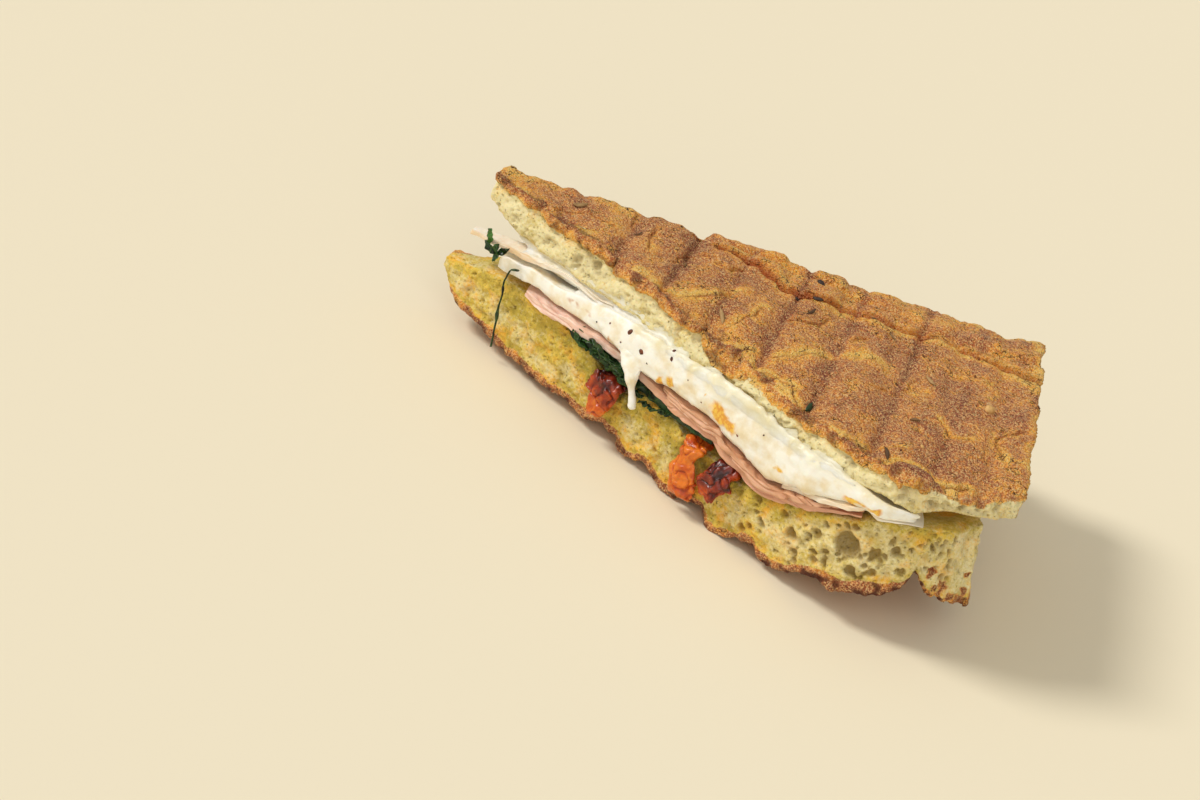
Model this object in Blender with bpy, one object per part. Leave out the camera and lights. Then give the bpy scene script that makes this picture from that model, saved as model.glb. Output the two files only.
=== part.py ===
"""Half of a grilled ciabatta panini, cut on the slant, with melted cheese, ham, turkey, spinach and tomato.

The cut side runs along +X and faces -Y, the crust side is at +Y, and +Z is up. Lengths are in millimetres
until a mesh is finished, and the half rests on its lower crust at z = 0.

The breads and the slices share one grid of columns along the cut and rows from the cut to the rear, so a
slice keeps its clearance from its neighbours everywhere.
"""

import math
from functools import lru_cache

import bmesh
import bpy
from mathutils import Matrix, Vector, noise
from mathutils.bvhtree import BVHTree

MM = 0.001
GAP = 0.35  # clear space between neighbouring pieces

# Plan of the half, measured from its sharp tip
CUT_RUN = 210.0  # cut edge, from the tip to where the line of the far end would cross it
TIP_BACK = Vector((-4.0, 12.0))  # the tip is blunt, and this is its rear corner
BACK_CORNER = Vector((141.0, 114.5))
ROUND_FROM = 0.715  # share of the cut edge after which the front corner rounds back
ROUND_BACK = 39.0  # how far that corner is set back along the far end
RIM_STEP = 5.0  # the rear rim stands out this much past the step near the tip
RIM_STEP_AT = 0.37

# The grid: columns along the cut, and rows that bunch at the cut and along the rear split
COLUMNS = 47
FRONT_ROWS = (0.0, 0.045, 0.11, 0.2, 0.32, 0.47, 0.63)
ROWS = len(FRONT_ROWS) + 3
SPLIT_SIDE = 0.042
SLICE_END = 0.3  # slices stop this share of the way from the last row but one to the rear edge

# Marks of the grill's ribs, which lie parallel to the far end, about 19 mm apart square to them
RIB_COLUMNS = (2, 7, 12, 17, 21, 25, 30, 35, 40, 44)
RIB_DEPTH = 1.4
RIB_HALF_WIDTH = 0.6  # share of a column

# Heights along the cut edge: (distance from the tip, height)
UNDERSIDE = ((-6, 15), (0, 9.5), (10, 6.5), (22, 4.2), (50, 2.6), (76, 2.4), (90, 0.6), (125, 0.6),
             (142, 2.0), (152, 6.2), (165, 9.8), (176, 14.0), (190, 16.0), (210, 13.0))
LOWER_CRUMB = ((-6, 15), (0, 19.5), (10, 24.2), (20, 26.2), (30, 26.2), (41, 26.4), (50, 25.2), (60, 24.3),
               (80, 24.2), (92, 23.6), (102, 24.4), (112, 24.4), (122, 22.6), (132, 22.6), (141, 26),
               (156, 32), (171, 36.5), (190, 39), (210, 38.5))
UPPER_CRUMB = ((-6, 48), (0, 46.8), (11, 43.6), (22, 41.6), (34, 41.8), (50, 43.2), (70, 44), (107, 43.6),
               (128, 43), (150, 44.4), (170, 47), (190, 49), (210, 48.6))
OVERSIDE = ((-6, 56), (0, 55.6), (12, 55.3), (30, 54.2), (47, 55.4), (71, 55.8), (93, 52.8),
            (110, 52), (131, 51.8), (146, 53.4), (161, 54), (178, 53.6), (192, 53.8), (210, 56.2))

# Heights well inside the half, at its rear edge, and what the far end adds to the inner ones
LOWER_CRUMB_INSIDE, LOWER_CRUMB_REAR, LOWER_CRUMB_END = 25.0, 27.5, 8.0
UPPER_CRUMB_INSIDE, UPPER_CRUMB_REAR, UPPER_CRUMB_END = 40.0, 34.0, 5.0
OVERSIDE_INSIDE, OVERSIDE_REAR, OVERSIDE_END = 56.0, 57.0, 2.0
END_FROM = 0.74
LOWER_SHORT, LOWER_LEAN, LOWER_SKEW = 1.5, 7.0, 6.0  # the lower bread's far end falls short of the upper one
FRONT_REACH = 0.42  # share of the depth over which the cut edge's heights fade into the inner ones
TIP_REACH = 0.28  # the same along the cut, because the tip is all near the cut

# The crease in the lower crust near the far end, and the split in the upper crust along the rear
NOTCH_AT, NOTCH_WIDTHS, NOTCH_DEPTH = 0.888, (0.03, 0.09), 9.5
SPLIT_FROM, SPLIT_DEPTH = 0.35, 4.4

# Slices from the lowest up, each with its first and last distance along the cut edge, the rows it
# covers, its thickness and how far it stands out of the cut
SLICES = {
    "spinach_layer": ((43, 106), ROWS, ((43, 1.0), (50, 2.8), (58, 4.0), (68, 3.9), (78, 2.4), (106, 1.4)),
                      ((43, 0.6), (56, 1.6), (70, 1.0), (78, 0.5), (106, 0.5))),
    "ham_lower": ((25, 162), ROWS, ((25, 1.6), (34, 2.6), (162, 2.0)),
                  ((25, 0.5), (34, 3.4), (58, 3.0), (70, 0.9), (82, 0.9), (95, 2.2), (162, 0.9))),
    "ham_upper": ((84, 160), 5, ((84, 1.6), (100, 2.4), (160, 1.6)),
                  ((84, 0.8), (98, 3.4), (140, 3.2), (160, 1.2))),
    "turkey_end": ((134, 180), 5, ((134, 1.3), (180, 1.5)), ((134, 1.0), (160, 3.0), (180, 2.4))),
}
THIN_INSIDE = 1.6  # the spinach is pressed to this away from the cut

CHEESE_RUN = (12, 179)
CHEESE_THICK = ((12, 4.6), (42, 5.2), (52, 7.0), (68, 9.5), (99, 11.5), (132, 11.5), (152, 7.5),
                (168, 4.4), (179, 2.4))
CHEESE_INSIDE, CHEESE_REAR = 5.0, 2.6
CHEESE_LIFT = ((12, 3.2), (24, 3.0), (36, 1.2), (45, 0.8), (60, 0.4), (186, 0.4))  # air under the cheese
CHEESE_LIP = ((38, 37), (42, 38), (52, 41), (69, 44), (85, 45.6), (99, 47.6), (116, 48),
              (132, 46.8), (152, 46.5), (170, 47.5), (186, 46))
CHEESE_PROUD = ((12, 1.3), (38, 1.8), (60, 4.0), (90, 4.6), (130, 4.6), (160, 3.6), (186, 1.6))
CHEESE_EDGE = ((0.25, 0.0), (0.86, 0.12), (1.0, 0.38), (0.86, 0.72), (0.26, 1.0))  # share of reach, of height

TIP_SLICE_RUN, TIP_SLICE_ROWS, TIP_SLICE_THICK = (-6, 60), 4, 1.3
TIP_SLICE_RISE = ((-6, 31.5), (0, 32.7), (11, 35), (19, 36.6), (30, 38.6), (40, 39.6), (62, 40))
TIP_SLICE_PROUD = ((-6, 1.4), (26, 1.6), (36, -0.7), (62, -0.7))

# Dried tomato pressed into the lower crumb and hanging out of the cut: (middle, half width, foot, lean,
# half thickness), with the share of its width at each step of its length
TOMATOES = {
    "tomato_first": (68.4, 6.0, 9.2, -1.0, 1.8, (0.8, 0.95, 1.0, 1.05, 1.0, 0.9, 0.7, 0.55, 0.35)),
    "tomato_left": (103.0, 4.9, 5.0, 2.6, 1.7, (0.6, 0.75, 0.8, 0.75, 0.6, 0.85, 1.1, 1.0, 0.6)),
    "tomato_right": (115.4, 4.9, 11.2, -1.6, 2.0, (0.6, 0.8, 0.9, 1.0, 1.1, 1.05, 0.95, 0.8, 0.5)),
}
POCKET_DEPTH, POCKET_REACH = 4.4, 15.0  # the lower crumb is pressed down under them

# Herb leaves baked on the upper crust: (x, y, length, turn in degrees)
HERBS = ((24, 14, 5.0, 20), (87, 12, 5.0, 78), (132, 4.5, 4.4, 50), (157, 9, 5.4, 112), (138, 53, 4.6, 10),
         (155, 62, 3.6, 0), (87, 63, 3.2, 30), (92, 55, 4.6, -20), (151, 28, 3.4, 40), (62, 24, 3.4, -35))
HERB_WIDTH, HERB_THICK = 1.0, 1.1

COLOURS = {
    "crust": ((0.42, 0.19, 0.07, 1), 0.75),
    "cheese": ((0.90, 0.85, 0.72, 1), 0.35),
    "ham": ((0.80, 0.50, 0.44, 1), 0.45),
    "turkey": ((0.88, 0.78, 0.66, 1), 0.5),
    "spinach": ((0.03, 0.09, 0.02, 1), 0.4),
    "tomato": ((0.40, 0.06, 0.02, 1), 0.35),
}


def smooth(t):
    """0 below 0, 1 above 1 and a smooth rise between."""
    t = min(1.0, max(0.0, t))
    return t * t * (3 - 2 * t)


def mix(a, b, t):
    return a + (b - a) * t


def along(points, x):
    """The height at x of a smooth line through the points."""
    if x <= points[0][0]:
        return points[0][1]
    if x >= points[-1][0]:
        return points[-1][1]
    i = next(k for k in range(1, len(points)) if points[k][0] >= x)
    (x0, z0), (x1, z1) = points[i - 1], points[i]
    before = points[i - 2] if i > 1 else points[0]
    after = points[i + 1] if i + 1 < len(points) else points[-1]
    slope0 = (z1 - before[1]) / (x1 - before[0])
    slope1 = (after[1] - z0) / (after[0] - x0)
    run = x1 - x0
    t = (x - x0) / run
    rise = (2 * t**3 - 3 * t**2 + 1) * z0 + (3 * t**2 - 2 * t**3) * z1
    return rise + run * ((t**3 - 2 * t**2 + t) * slope0 + (t**3 - t**2) * slope1)


def wobble(x, y, scale, seed):
    """Smooth noise from -1 to 1 whose bumps are about scale across."""
    return noise.noise(Vector((x / scale, y / scale, seed)))


@lru_cache(None)
def spot(i, j):
    """u along the cut edge and v towards the rear of a place on the grid."""
    u = i / COLUMNS
    if j < len(FRONT_ROWS):
        return u, FRONT_ROWS[max(j, 0)]
    middle = split_middle(u)
    return u, (middle - SPLIT_SIDE, middle, middle + SPLIT_SIDE, 1.0)[j - len(FRONT_ROWS)]


def column(x):
    """The grid column nearest to a distance along the cut edge."""
    return min(COLUMNS, max(0, round(x / CUT_RUN * COLUMNS)))


@lru_cache(None)
def plan(u, v):
    """The point at u along the cut edge, from the tip, and v from the cut towards the rear."""
    front = Vector((CUT_RUN * u, 0.0))
    back = TIP_BACK.lerp(BACK_CORNER, u)
    line = (back - front).normalized()
    turned = max(0.0, (u - ROUND_FROM) / (1 - ROUND_FROM))
    front += line * ROUND_BACK * turned**2
    back -= line * RIM_STEP * (1 - smooth((u - RIM_STEP_AT) / 0.03 + 0.5))
    return front.lerp(back, v)


def inward(u):
    return (plan(u, 1.0) - plan(u, 0.0)).normalized()


def rib(u):
    """1 in the middle of a grill mark, 0 between two."""
    off = min(abs(u * COLUMNS - mark) for mark in RIB_COLUMNS)
    return math.exp(-((off / RIB_HALF_WIDTH) ** 2))


def blend(front, inside, rear, end, u, v):
    """A height that is front at the cut, then inside, then rear, with end added towards the far end."""
    inner = mix(inside, rear, smooth((v - 0.55) / 0.45)) + end * smooth((u - END_FROM) / (1 - END_FROM))
    return mix(along(front, CUT_RUN * u), inner, smooth(v / FRONT_REACH) * smooth(u / TIP_REACH))


def split_middle(u):
    """Where the rear split runs, as a share of the depth."""
    return mix(0.915, 0.80, smooth((u - SPLIT_FROM) / (1 - SPLIT_FROM))) + 0.012 * wobble(u * 13, 0, 1, 5.0)


@lru_cache(None)
def base(i, j):
    """Height of the lower bread's crumb, on which the filling lies."""
    u, v = spot(i, j)
    p = plan(u, v)
    height = blend(LOWER_CRUMB, LOWER_CRUMB_INSIDE, LOWER_CRUMB_REAR, LOWER_CRUMB_END, u, v)
    return height + 0.6 * wobble(p.x, p.y, 11, 3.0)


@lru_cache(None)
def ceiling(i, j):
    """Height of the upper bread's crumb before the slices push it up."""
    u, v = spot(i, j)
    p = plan(u, v)
    height = blend(UPPER_CRUMB, UPPER_CRUMB_INSIDE, UPPER_CRUMB_REAR, UPPER_CRUMB_END, u, v)
    return height + 0.6 * wobble(p.x, p.y, 9, 8.0)


@lru_cache(None)
def stack(i, j):
    """Bottom and top of every slice at a place, each resting on the one below, and the lot's top."""
    u, v = spot(i, j)
    x = CUT_RUN * u
    heights = {}
    z = base(i, j) + GAP
    for name, (run, last_row, thick, _) in SLICES.items():
        if column(run[0]) <= i <= column(run[1]) and j <= last_row:
            full = along(thick, x)
            t = mix(full, THIN_INSIDE, smooth(v / FRONT_REACH)) if name == "spinach_layer" else full
            heights[name] = (z, z + t)
            z += t + GAP
    if column(CHEESE_RUN[0]) <= i <= column(CHEESE_RUN[1]):
        z += along(CHEESE_LIFT, x)
        inner = mix(CHEESE_INSIDE, CHEESE_REAR, smooth((v - 0.6) / 0.4))
        wanted = mix(along(CHEESE_THICK, x), inner, smooth(v / FRONT_REACH))
        t = max(1.4, min(wanted, ceiling(i, j) - GAP - z))
        heights["cheese"] = (z, z + t)
        z += t + GAP
    if column(TIP_SLICE_RUN[0]) <= i <= column(TIP_SLICE_RUN[1]) and j <= TIP_SLICE_ROWS:
        z = max(z, along(TIP_SLICE_RISE, x))
        heights["turkey_tip"] = (z, z + TIP_SLICE_THICK)
        z += TIP_SLICE_THICK + GAP
    return heights, z


def pocket(i, j):
    """How far the tomatoes press the lower crumb down."""
    u, v = spot(i, j)
    depth = 1 - smooth(plan(u, v).y / POCKET_REACH)
    near = max(1 - smooth((abs(CUT_RUN * u - t[0]) - t[1] - 1.5) / 4) for t in TOMATOES.values())
    return POCKET_DEPTH * near * depth


def lower_crust(i, j):
    u, v = spot(i, j)
    p = plan(u, v)
    z = along(UNDERSIDE, CUT_RUN * u) * (1 - 0.35 * smooth(v / FRONT_REACH) * (1 - smooth((u - 0.7) / 0.2)))
    z += RIB_DEPTH * rib(u) * (0.75 + 0.5 * wobble(p.x, p.y, 14, 1.0))
    z += abs(wobble(p.x, p.y, 10, 2.0))
    notch = abs(u - NOTCH_AT) / NOTCH_WIDTHS[u > NOTCH_AT]
    z += NOTCH_DEPTH * max(0.0, 1 - notch) * (1 - 0.75 * smooth(v / 0.5))
    return z + 6.0 * smooth((v - 0.86) / 0.14) ** 2


def upper_crumb(i, j):
    return max(ceiling(i, j), stack(i, j)[1])


def upper_crust(i, j):
    u, v = spot(i, j)
    p = plan(u, v)
    z = blend(OVERSIDE, OVERSIDE_INSIDE, OVERSIDE_REAR, OVERSIDE_END, u, v)
    z -= RIB_DEPTH * rib(u) * (0.7 + 0.6 * wobble(p.x, p.y, 20, 6.0))
    z += 1.2 * wobble(p.x, p.y, 17, 7.0) + 0.6 * wobble(p.x, p.y, 7, 9.0)
    if j == len(FRONT_ROWS) + 1:
        strength = smooth((u - SPLIT_FROM) / 0.05 + 0.5) * mix(1.0, 0.5, smooth((u - 0.55) / 0.3))
        z -= SPLIT_DEPTH * strength
    return z - 4.0 * smooth((v - 0.93) / 0.07) - 1.5 * smooth((0.03 - u) / 0.05)


def grid_solid(name, columns, rows, loops, place, colour):
    """A closed solid over part of the grid: place(i, j, w) puts each point, w rising from 0 to 1."""
    wide, deep = columns[1] - columns[0], rows[1] - rows[0]
    bm = bmesh.new()
    bmesh.ops.create_grid(bm, x_segments=wide, y_segments=deep, size=0.5)
    bmesh.ops.triangulate(bm, faces=bm.faces[:], quad_method="FIXED")
    raised = bmesh.ops.extrude_face_region(bm, geom=bm.faces[:], use_keep_orig=True)["geom"]
    tops = [g for g in raised if isinstance(g, bmesh.types.BMVert)]
    bmesh.ops.translate(bm, verts=tops, vec=(0, 0, 1))
    if loops:
        upright = [e for e in bm.edges if abs(e.verts[0].co.z - e.verts[1].co.z) > 0.5]
        bmesh.ops.subdivide_edges(bm, edges=upright, cuts=loops, use_grid_fill=True)
    for vert in bm.verts:
        i = columns[0] + round((vert.co.x + 0.5) * wide)
        j = rows[0] + round((vert.co.y + 0.5) * deep)
        vert.co = Vector(place(i, j, vert.co.z)) * MM
    return finish_mesh(bm, name, colour)


def finish_mesh(bm, name, colour):
    bmesh.ops.triangulate(bm, faces=bm.faces[:])
    bmesh.ops.recalc_face_normals(bm, faces=bm.faces[:])
    if bm.calc_volume(signed=True) < 0:
        bmesh.ops.reverse_faces(bm, faces=bm.faces[:])
    mesh = bpy.data.meshes.new(name)
    bm.to_mesh(mesh)
    bm.free()
    mesh.shade_smooth()
    obj = bpy.data.objects.new(name, mesh)
    bpy.context.scene.collection.objects.link(obj)
    obj.data.materials.append(material(colour))
    return obj


def material(name):
    found = bpy.data.materials.get(name)
    if found:
        return found
    made = bpy.data.materials.new(name)
    made.use_nodes = True
    shader = made.node_tree.nodes["Principled BSDF"]
    shader.inputs["Base Color"].default_value, shader.inputs["Roughness"].default_value = COLOURS[name]
    return made


def bread_point(i, j, w, low, high, seed, tip_reach, low_slab):
    """A point of a bread slab: w runs from its lower side to its upper one."""
    u, v = spot(i, j)
    p = plan(u, v).copy()
    z = mix(low, high, w)
    if j == 0:
        p += inward(u) * (0.3 + 0.25 * wobble(p.x, z, 6, seed))
    if j == ROWS:
        p += inward(u) * (1.4 + 1.4 * wobble(p.x, p.y, 12, seed) + 2.4 * math.sin(math.pi * w)) * smooth(u / 0.15)
    if i == COLUMNS:
        p.x += 1.2 * wobble(p.y, z, 12, seed + 3)
    if i == 0:
        p.x += tip_reach(w) + 0.6 * wobble(p.y, z, 6, seed)
    if low_slab:
        p.x -= (LOWER_SHORT + LOWER_LEAN * w + LOWER_SKEW * v) * smooth((u - 0.9) / 0.1)
    return p.x, p.y, z


def make_breads():
    def lower(i, j, w):
        return bread_point(i, j, w, lower_crust(i, j), base(i, j) - pocket(i, j), 21.0,
                           lambda w: mix(1.0, -7.0, smooth(w / 0.7)), True)

    def upper(i, j, w):
        return bread_point(i, j, w, upper_crumb(i, j), upper_crust(i, j), 33.0, lambda w: 1.5, False)

    grid_solid("bread_lower", (0, COLUMNS), (0, ROWS), 2, lower, "crust")
    top = grid_solid("bread_upper", (0, COLUMNS), (0, ROWS), 2, upper, "crust")
    crust = BVHTree.FromPolygons([v.co for v in top.data.vertices], [p.vertices for p in top.data.polygons])
    join(top, [herb(number, crust, *place) for number, place in enumerate(HERBS)])


def herb(number, crust, x, y, length, turn):
    """One baked leaf, lying half sunk in the upper crust."""
    middle, normal, _, _ = crust.ray_cast(Vector((x, y, 90)) * MM, Vector((0, 0, -1)))
    bm = bmesh.new()
    bmesh.ops.create_cube(bm, size=1)
    bmesh.ops.bevel(bm, geom=bm.edges[:], offset=0.18, segments=1, affect="EDGES", profile=0.5)
    bmesh.ops.scale(bm, vec=Vector((length, HERB_WIDTH, HERB_THICK)) * MM, verts=bm.verts[:])
    lie = normal.to_track_quat("Z", "X").to_matrix().to_4x4()
    turned = Matrix.Translation(middle + normal * 0.1 * MM) @ lie @ Matrix.Rotation(math.radians(turn), 4, "Z")
    bmesh.ops.transform(bm, matrix=turned, verts=bm.verts[:])
    return finish_mesh(bm, f"herb_{number}", "crust")


def join(target, others):
    """One Boolean union with a collection, after which the collection's objects are removed."""
    group = bpy.data.collections.new(target.name + "_joined")
    bpy.context.scene.collection.children.link(group)
    for other in others:
        bpy.context.scene.collection.objects.unlink(other)
        group.objects.link(other)
    union = target.modifiers.new("join", "BOOLEAN")
    union.operation = "UNION"
    union.operand_type = "COLLECTION"
    union.collection = group
    union.solver = "EXACT"
    bpy.context.view_layer.update()
    target.data = bpy.data.meshes.new_from_object(target.evaluated_get(bpy.context.evaluated_depsgraph_get()))
    target.modifiers.clear()
    for other in others:
        bpy.data.objects.remove(other)
    bpy.data.collections.remove(group)


def slice_place(i, j):
    """Plan of a slice's point, pulled in from the rear rim, and the share of the last row's height."""
    u, v = spot(i, j)
    if j == ROWS:
        v = mix(spot(i, ROWS - 1)[1], 1.0, SLICE_END)
    return plan(u, v).copy()


def slice_heights(i, j, key):
    near = stack(i, max(j, 0))[0][key]
    if j < ROWS:
        return near
    before = stack(i, ROWS - 1)[0][key]
    return mix(before[0], near[0], SLICE_END), mix(before[1], near[1], SLICE_END)


def make_slice(name, run, last_row, proud, colour, seed):
    """One slice of the stack, with an uneven edge that stands a little out of the cut."""
    def place(i, j, w):
        p = slice_place(i, j)
        z = mix(*slice_heights(i, j, name), w)
        if j == -1:
            out = along(proud, CUT_RUN * spot(i, 0)[0])
            uneven = 1 + 0.3 * wobble(p.x, 0, 12, seed) + 0.25 * wobble(p.x, 0, 5, seed + 1)
            p -= inward(spot(i, 0)[0]) * (out * uneven if out > 0 else out)
        return p.x, p.y, z

    grid_solid(name, (column(run[0]), column(run[1])), (-1, last_row), 0, place, colour)


def make_slices():
    colours = {"spinach_layer": "spinach", "ham_lower": "ham", "ham_upper": "ham", "turkey_end": "turkey"}
    for number, (name, (run, last_row, _, proud)) in enumerate(SLICES.items()):
        make_slice(name, run, last_row, proud, colours[name], 41.0 + 2 * number)
    make_slice("turkey_tip", TIP_SLICE_RUN, TIP_SLICE_ROWS, TIP_SLICE_PROUD, "turkey", 51.0)


def make_cheese():
    """The melted slice: its edge bulges out of the cut and rises over the foot of the upper crumb."""
    def place(i, j, w):
        u = spot(i, 0)[0]
        p = slice_place(i, j)
        low, high = slice_heights(i, j, "cheese")
        if j > -1:
            return p.x, p.y, mix(low, high, w)
        x = CUT_RUN * u
        lip = max(high, along(CHEESE_LIP, x)) if x > 37 else high
        reach, rise = CHEESE_EDGE[round(w * (len(CHEESE_EDGE) - 1))]
        z = mix(low, lip, rise)
        swell = 1 + 0.3 * wobble(x, z, 13, 61.0) * smooth((x - 40) / 30)
        p -= inward(u) * max(1.0, along(CHEESE_PROUD, x) * reach * swell)
        return p.x, p.y, z

    cheese = grid_solid("cheese", tuple(column(x) for x in CHEESE_RUN), (-1, ROWS), 3, place, "cheese")
    join(cheese, [make_drip()])


def rings_solid(name, stations, sides, colour):
    """A closed solid through rings, each given as its middle, its half width and its half thickness."""
    bm = bmesh.new()
    loops = []
    for middle, side, thick in stations:
        turn = Matrix((side, thick, side.cross(thick))).transposed().to_4x4()
        ring = bmesh.ops.create_circle(bm, segments=sides, radius=1.0, matrix=Matrix.Translation(middle) @ turn)
        loops.append(ring["verts"])
    for a, b in zip(loops, loops[1:]):
        both = set(a) | set(b)
        edges = [e for e in bm.edges if e.verts[0] in both and e.verts[1] in both]
        bmesh.ops.bridge_loops(bm, edges=[e for e in edges if (e.verts[0] in a) == (e.verts[1] in a)])
    for ring in (loops[0], loops[-1]):
        bm.faces.new(ring)
    bmesh.ops.scale(bm, vec=(MM, MM, MM), verts=bm.verts[:])
    return finish_mesh(bm, name, colour)


def across(path, k):
    """Direction square to a path in the YZ plane, pointing out of the cut or up."""
    run = path[min(k + 1, len(path) - 1)] - path[max(k - 1, 0)]
    return Vector((0.0, run.z, -run.y)).normalized()


def make_drip():
    """The thread of cheese that runs down from the melted edge."""
    stations = []
    for k in range(10):
        t = k / 9
        width = mix(4.6, 1.3, smooth((t - 0.1) / 0.5)) * (0.7 if k in (0, 9) else 1)
        middle = Vector((mix(72.0, 80.2, t), -2.8 - 1.6 * smooth(t / 0.3), mix(35.5, 20.5, t)))
        stations.append((middle, Vector((width, 0, 0)), Vector((0, mix(1.8, 1.0, t), 0))))
    return rings_solid("drip", stations, 10, "cheese")


def make_tomatoes():
    """Each piece starts in its pocket, comes over the lower crumb's edge and hangs down the cut."""
    for seed, (name, (x, half, foot, lean, depth, widths)) in enumerate(TOMATOES.items()):
        edge = base(column(x), 0)
        path = [Vector((x, 4.2, edge - 1.7)), Vector((x, 1.2, edge - 2.1)), Vector((x, -1.6, edge - 2.2))]
        for k in range(6):
            t = k / 5
            drop = edge - 3.6 - (edge - 3.6 - foot) * t
            path.append(Vector((x + lean * t, -2.6 - 0.5 * depth - 0.4 * math.sin(math.pi * t), drop)))
        stations = []
        for k, middle in enumerate(path):
            thin = 0.62 if k == 0 else 0.85 if k < 3 else 0.5 if k == len(path) - 1 else 1.0
            thick = across(path, k) * depth * thin * (1 + 0.2 * wobble(k, seed, 1.7, 73.0))
            if k < 3:
                thick *= 0.8
            stations.append((middle, Vector((half * widths[k], 0, 0)), thick))
        rings_solid(name, stations, 12, "tomato")


def make_greens():
    """The scrap of leaf at the tip, and the stalk that hangs down the cut."""
    stations = []
    for k in range(8):
        t = k / 7
        width = mix(0.5, 2.7, math.sin(math.pi * (0.12 + 0.76 * t)))
        middle = Vector((mix(7.0, 16.0, t), -3.6 - 0.5 * t, 36.6 - 4.4 * math.sin(2.0 * t)))
        stations.append((middle, Vector((0.3 * width, -0.2 * width, 0.85 * width)), Vector((0.2, 0.42, 0.05))))
    rings_solid("spinach_scrap", stations, 8, "spinach")
    stations = []
    for k in range(15):
        t = k / 14
        middle = Vector((18.4 + 1.2 * t + 1.2 * math.cos(4.5 * t), -1.9 - 0.5 * math.sin(5 * t), mix(28.4, 4.2, t)))
        knot = 0.5 + 0.35 * math.exp(-(((t - 0.62) / 0.05) ** 2)) + 0.9 * math.exp(-((t / 0.07) ** 2))
        stations.append((middle, Vector((knot, 0, 0)), Vector((0, 0.45, 0))))
    rings_solid("spinach_stalk", stations, 8, "spinach")


def centre_on_base():
    """Moves every piece so that the origin is in the middle of the half's box, at its lowest point."""
    nodes = [o for o in bpy.context.scene.objects if o.type == "MESH"]
    points = [v.co for o in nodes for v in o.data.vertices]
    low = Vector([min(p[k] for p in points) for k in range(3)])
    high = Vector([max(p[k] for p in points) for k in range(3)])
    shift = Vector((-(low.x + high.x) / 2, -(low.y + high.y) / 2, -low.z))
    print("shift in mm", [round(c / MM, 3) for c in shift], "size", [round(c / MM, 2) for c in high - low])
    for o in nodes:
        o.data.transform(Matrix.Translation(shift))


def main():
    for old in list(bpy.data.objects):
        bpy.data.objects.remove(old)
    make_breads()
    make_slices()
    make_cheese()
    make_tomatoes()
    make_greens()
    centre_on_base()


main()
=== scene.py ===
"""Dresses the solids of half a grilled panini: baked crusts, open crumb, melted cheese and its fillings.

Lengths in the tables are millimetres from the sharp tip of the cut edge, with x along the cut, y towards
the rear and z up from the floor.
"""

import math
from functools import partial

import bmesh
import bpy
import numpy as np
from bpy.props import FloatProperty, FloatVectorProperty, IntProperty, PointerProperty, StringProperty
from mathutils import Matrix, Vector, noise
from mathutils.bvhtree import BVHTree


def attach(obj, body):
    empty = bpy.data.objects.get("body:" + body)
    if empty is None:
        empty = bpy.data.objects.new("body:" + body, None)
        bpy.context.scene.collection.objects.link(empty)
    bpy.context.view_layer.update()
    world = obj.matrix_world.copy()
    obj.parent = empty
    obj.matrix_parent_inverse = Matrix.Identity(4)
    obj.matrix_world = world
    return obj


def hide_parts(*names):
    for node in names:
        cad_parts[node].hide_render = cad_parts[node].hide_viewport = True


bl_info = {
    "name": "Panini Half",
    "version": (1, 0, 0),
    "blender": (4, 5, 0),
    "location": "View3D > Sidebar > Panini",
    "description": "Builds the look of half a grilled ciabatta panini on its solids",
    "category": "Object",
}

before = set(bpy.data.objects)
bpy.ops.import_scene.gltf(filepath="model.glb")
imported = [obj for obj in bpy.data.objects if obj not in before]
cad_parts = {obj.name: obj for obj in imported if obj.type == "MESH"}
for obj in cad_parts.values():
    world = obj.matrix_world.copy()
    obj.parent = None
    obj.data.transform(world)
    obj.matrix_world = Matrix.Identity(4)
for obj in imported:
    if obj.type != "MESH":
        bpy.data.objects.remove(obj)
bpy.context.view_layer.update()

MM = 0.001
TIP = Vector((-0.090131, -0.055977, -0.000297))  # the tip of the cut edge

# Plan of the half, as its solids are laid out
CUT_RUN = 210.0
TIP_BACK = (-4.0, 12.0)
BACK_RUN = (145.0, 102.5)
ROUND_FROM, ROUND_BACK = 0.715, 39.0
STEP_BACK, STEP_AT = 5.0, 0.37
SHOULDER = 46.0  # height at which the upper slab turns from its sides to its top
ABOVE_FLOOR = 0.02  # how far the base stays above the floor

# Grill marks across the crusts: (share of the cut edge, strength)
RIBS = ((0.15, 0.35), (0.255, 0.5), (0.352, 1.0), (0.443, 0.5), (0.54, 1.0), (0.64, 0.8), (0.752, 0.95),
        (0.855, 0.4), (0.936, 0.3))

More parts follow.
